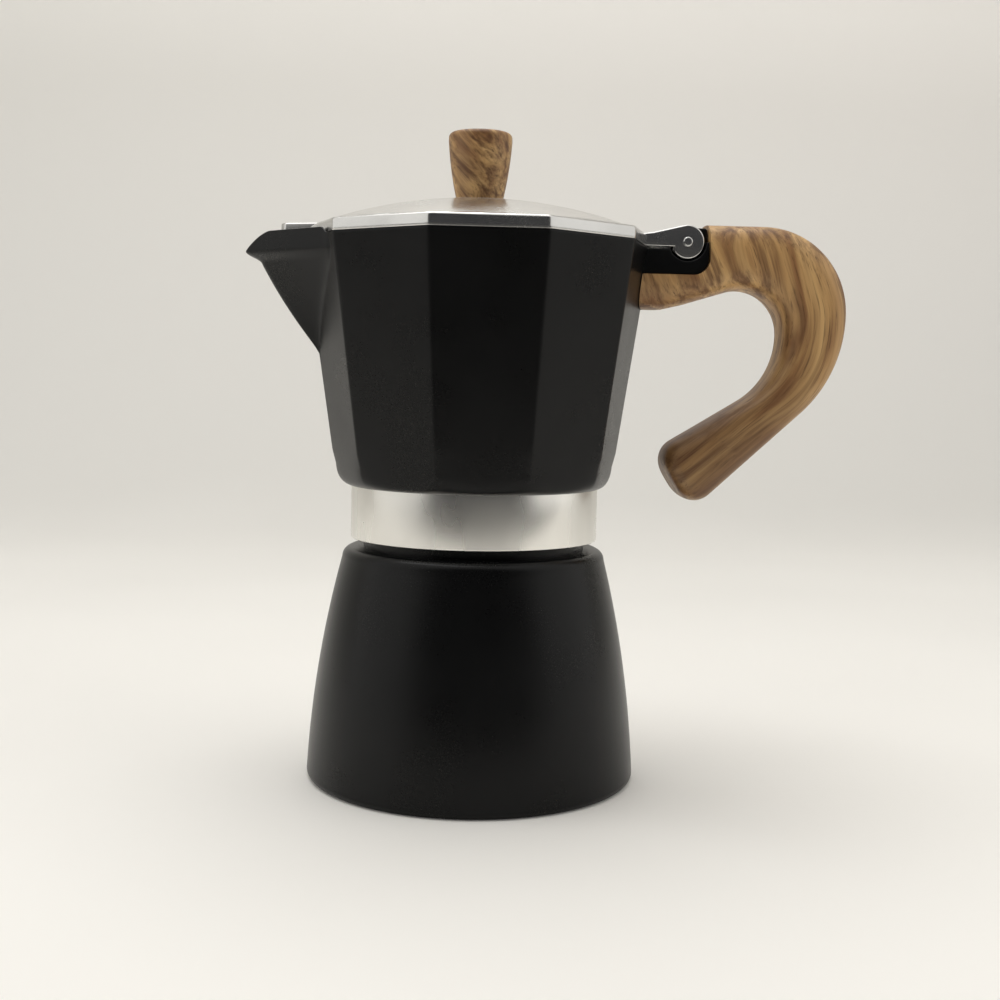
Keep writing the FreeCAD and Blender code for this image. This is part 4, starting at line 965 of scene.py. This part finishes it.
def wooden(name, swirl, broad, streak, depth, attribute=None, turn=(0, 0, 0), shade=None):
    """Printed wood on moulded plastic; the grain follows the attribute, or a turned Object frame.

    shade gives (start, end, share): the colour darkens by the share between two distances along the grain,
    which on the grip is towards its free end.
    """
    material, tree, shader, place = new_material(name, (0.27, 0.15, 0.06), 0.0, 0.44)
    if attribute:
        way = node(tree, "ShaderNodeAttribute", attribute_name=attribute).outputs["Vector"]
    else:
        way = node(tree, "ShaderNodeMapping", {"Vector": place, "Rotation": turn}).outputs[0]
    grain = use_group(tree, wood_streaks, way, Swirl=swirl, Broad=broad, Streak=streak, Depth=depth)
    colour = grain.outputs["Colour"]
    if shade:
        along = node(tree, "ShaderNodeSeparateXYZ", {0: way}).outputs["X"]
        links = {"Value": along, "From Min": shade[0], "From Max": shade[1], "To Max": shade[2]}
        share = node(tree, "ShaderNodeMapRange", links, interpolation_type="SMOOTHSTEP").outputs[0]
        colour = blend_colours(tree, share, colour, (0.100, 0.042, 0.016, 1))
    tree.links.new(colour, shader.inputs["Base Color"])
    links = {"Value": grain.outputs["Height"], "From Max": 0.25, "To Min": 0.50, "To Max": 0.40}
    rough = node(tree, "ShaderNodeMapRange", links)
    tree.links.new(rough.outputs[0], shader.inputs["Roughness"])
    bump(tree, shader, grain.outputs["Height"], 0.10, 0.08)
    return material


black_coat = coated("black_coat", (0.0032, 0.0033, 0.0035), 0.26, 0.33, ior=1.29)
bare_ring_metal = machined("bare_ring_metal", (0.90, 0.885, 0.84), 0.20, 0.34)
bare_metal = machined("bare_metal", (0.86, 0.86, 0.85), 0.26, 0.38, rings=3800.0)
lid_metal = polished("lid_metal", (0.70, 0.695, 0.68), 0.18, 0.28)
steel = polished("steel", (0.70, 0.70, 0.69), 0.20, 0.32)
brass = polished("brass", (0.80, 0.58, 0.27), 0.22, 0.36)
rubber = coated("rubber", (0.72, 0.70, 0.66), 0.55, 0.68)
handle_wood = wooden("handle_wood", swirl=0.012, broad=130.0, streak=300.0, depth=0.9,
                     attribute="grain_way", shade=(0.090, 0.150, 0.50))
knob_wood = wooden("knob_wood", swirl=0.012, broad=190.0, streak=420.0, depth=1.0, turn=(0.0, -0.85, 0.35))


# ---------------------------------------------------------------- pieces on their bodies

def fit(piece, body, slot_name, material, *nodes):
    """Put a finished piece on its body with its finish; the CAD nodes it stands for are named last."""
    piece.data.materials.clear()
    piece.data.materials.append(material)
    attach(piece, body)
    if nodes:
        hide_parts(*nodes)


fit(make_boiler(), "boiler_group", "black_coat", black_coat, "boiler")
fit(make_valve_boss(), "boiler_group", "black_coat", black_coat)
fit(make_collar(), "jug_group", "bare_aluminium", bare_ring_metal)
fit(make_jug(), "jug_group", "black_coat", black_coat, "collector")
fit(make_column(), "jug_group", "bare_aluminium", bare_metal)
for block in make_lug():
    fit(block, "jug_group", "black_coat", black_coat)
for part in make_lid():
    fit(part, "lid_group", "polished_aluminium", lid_metal, "lid")
for part in make_ears():
    fit(part, "lid_group", "polished_aluminium", lid_metal)
fit(make_pin(), "jug_group", "steel", steel, "hinge_pin")
fit(make_knob(), "lid_group", "wood_print", knob_wood, "lid_knob")
fit(make_handle(), "jug_group", "wood_print", handle_wood, "handle")

NODE_FINISH = {
    "funnel": bare_metal, "funnel_sieve": bare_metal, "filter_plate": bare_metal, "gasket": rubber,
    "valve_body": brass, "valve_poppet": brass, "valve_seal": rubber, "valve_washer": steel,
    "valve_spring": steel, "valve_cap": steel, "handle_screw": steel, "knob_screw": steel, "knob_washer": steel,
}
for name, finish in NODE_FINISH.items():
    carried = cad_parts[name]
    carried.data.materials.clear()
    carried.data.materials.append(finish)


# ---------------------------------------------------------------- floor, backdrop, light, camera

def make_stage():
    """Floor that sweeps up into a backdrop: a flat strip, a quarter turn and an upright strip."""
    bend, back, front, height, half_width = 420.0, 560.0, 7000.0, 3200.0, 3200.0
    turn = np.linspace(0, math.pi / 2, 24)
    line = np.concatenate([
        [[-front, 0.0], [-600.0, 0.0], [0.0, 0.0]],
        np.stack([back + bend * np.sin(turn), bend * (1 - np.cos(turn))], axis=-1),
        [[back + bend, 1200.0], [back + bend, height]],
    ])
    across = np.linspace(-half_width, half_width, 9)
    points = np.stack([np.stack([np.full(len(line), x), line[:, 0], line[:, 1]], axis=-1) for x in across])
    mesh = bpy.data.meshes.new("studio_sweep")
    mesh.from_pydata((points.reshape(-1, 3) * MM).tolist(), [], grid_faces(len(across), len(line)))
    mesh.shade_smooth()
    sweep = bpy.data.objects.new("studio_sweep", mesh)
    bpy.context.scene.collection.objects.link(sweep)
    mesh.materials.append(studio_paper())


def studio_paper():
    """Pale paper with painted light and shade: painted shade darkens the mottled floor away from the pot, and
    painted light brightens the wall to the right.

    Glossy rays see its far front as the unlit room that it runs into, and the camera sees it a touch lighter.
    """
    material, tree, shader, place = new_material("studio_paper", (0.70, 0.68, 0.64), 0.0, 0.9)
    parts = node(tree, "ShaderNodeSeparateXYZ", {0: place}).outputs

    def share(axis, low, high):
        links = {"Value": parts[axis], "From Min": low, "From Max": high}
        return node(tree, "ShaderNodeMapRange", links).outputs[0]

    # painted shade: the floor is darker from near the pot towards the back; the noise adds a random mottle on
    # top
    far = maths(tree, "ADD", share("Y", -0.20, 0.75), spread(tree, noise(tree, place, 3.0, 2.0), 0.0, 0.12))
    floor_with_painted_shade = blend_colours(tree, far, (0.895, 0.875, 0.835, 1), (0.63, 0.615, 0.58, 1))
    # painted light: the wall is lighter to the right
    wall_with_painted_light = blend_colours(tree, share("X", -0.5, 0.5), (0.86, 0.84, 0.795, 1), (0.98, 0.95, 0.905, 1))
    tint = blend_colours(tree, share("Z", 0.03, 0.50), floor_with_painted_shade, wall_with_painted_light)
    rays = node(tree, "ShaderNodeLightPath").outputs
    unlit = maths(tree, "MULTIPLY", share("Y", -0.24, -0.44), rays["Is Glossy Ray"])
    tint = blend_colours(tree, unlit, tint, (0.035, 0.034, 0.033, 1))
    tree.links.new(tint, shader.inputs["Base Color"])
    lift = blend_colours(tree, rays["Is Camera Ray"], (0, 0, 0, 1), (0.05, 0.049, 0.047, 1))
    tree.links.new(lift, shader.inputs["Emission Color"])
    shader.inputs["Emission Strength"].default_value = 1.0
    return material


def add_lamp(name, at, look_at, size, size_y, power):
    """Soft rectangular lamp that faces a point."""
    lamp = bpy.data.lights.new(name, "AREA")
    lamp.shape = "RECTANGLE"
    lamp.size, lamp.size_y = size, size_y
    lamp.energy = power
    made = bpy.data.objects.new(name, lamp)
    made.location = at
    made.rotation_mode = "QUATERNION"
    made.rotation_quaternion = (Vector(look_at) - Vector(at)).to_track_quat("-Z", "Y")
    bpy.context.scene.collection.objects.link(made)


def make_world():
    """Soft room light: bright above and at the sides, dark in front where the room is unlit."""
    world = bpy.data.worlds.new("soft_room")
    bpy.context.scene.world = world
    world.use_nodes = True
    tree = world.node_tree
    tree.nodes.clear()
    way = node(tree, "ShaderNodeTexCoord").outputs["Generated"]
    parts = node(tree, "ShaderNodeSeparateXYZ", {0: way})
    front = maths(tree, "MULTIPLY", parts.outputs["Y"], -1.0)
    dark = node(tree, "ShaderNodeMapRange", {"Value": front, "From Min": 0.47, "From Max": 0.82},
                interpolation_type="SMOOTHSTEP")
    colour = blend_colours(tree, dark.outputs[0], (1.0, 0.985, 0.95, 1), (0.05, 0.05, 0.052, 1))
    light = node(tree, "ShaderNodeBackground", {"Color": colour, "Strength": 0.95})
    node(tree, "ShaderNodeOutputWorld", {"Surface": light.outputs[0]})


def make_camera():
    """Camera a little left of the handle's plane, looking down by about five degrees, with a small roll."""
    camera = bpy.data.cameras.new("view")
    camera.sensor_width = 36.0
    camera.lens = 49.35
    camera.clip_start, camera.clip_end = 0.02, 30.0
    turn, pitch, roll = 0.0745, 0.0852, 0.0197
    forward = Vector((math.cos(pitch) * math.sin(turn), math.cos(pitch) * math.cos(turn), -math.sin(pitch)))
    level_right = Vector((math.cos(turn), -math.sin(turn), 0.0))
    level_up = level_right.cross(forward)
    right = level_right * math.cos(roll) + level_up * math.sin(roll)
    up = level_up * math.cos(roll) - level_right * math.sin(roll)
    made = bpy.data.objects.new("view", camera)
    place = Matrix((right, up, -forward)).transposed().to_4x4()
    place.translation = Vector((-23.78, -427.3, 123.26)) * MM
    made.matrix_world = place
    bpy.context.scene.collection.objects.link(made)
    bpy.context.scene.camera = made


make_stage()
make_world()
add_lamp("top_soft", (-0.15, 0.25, 1.35), (0, 0.1, 0.1), 1.3, 1.0, 9.0)
make_camera()
bpy.context.scene.view_settings.view_transform = "Standard"
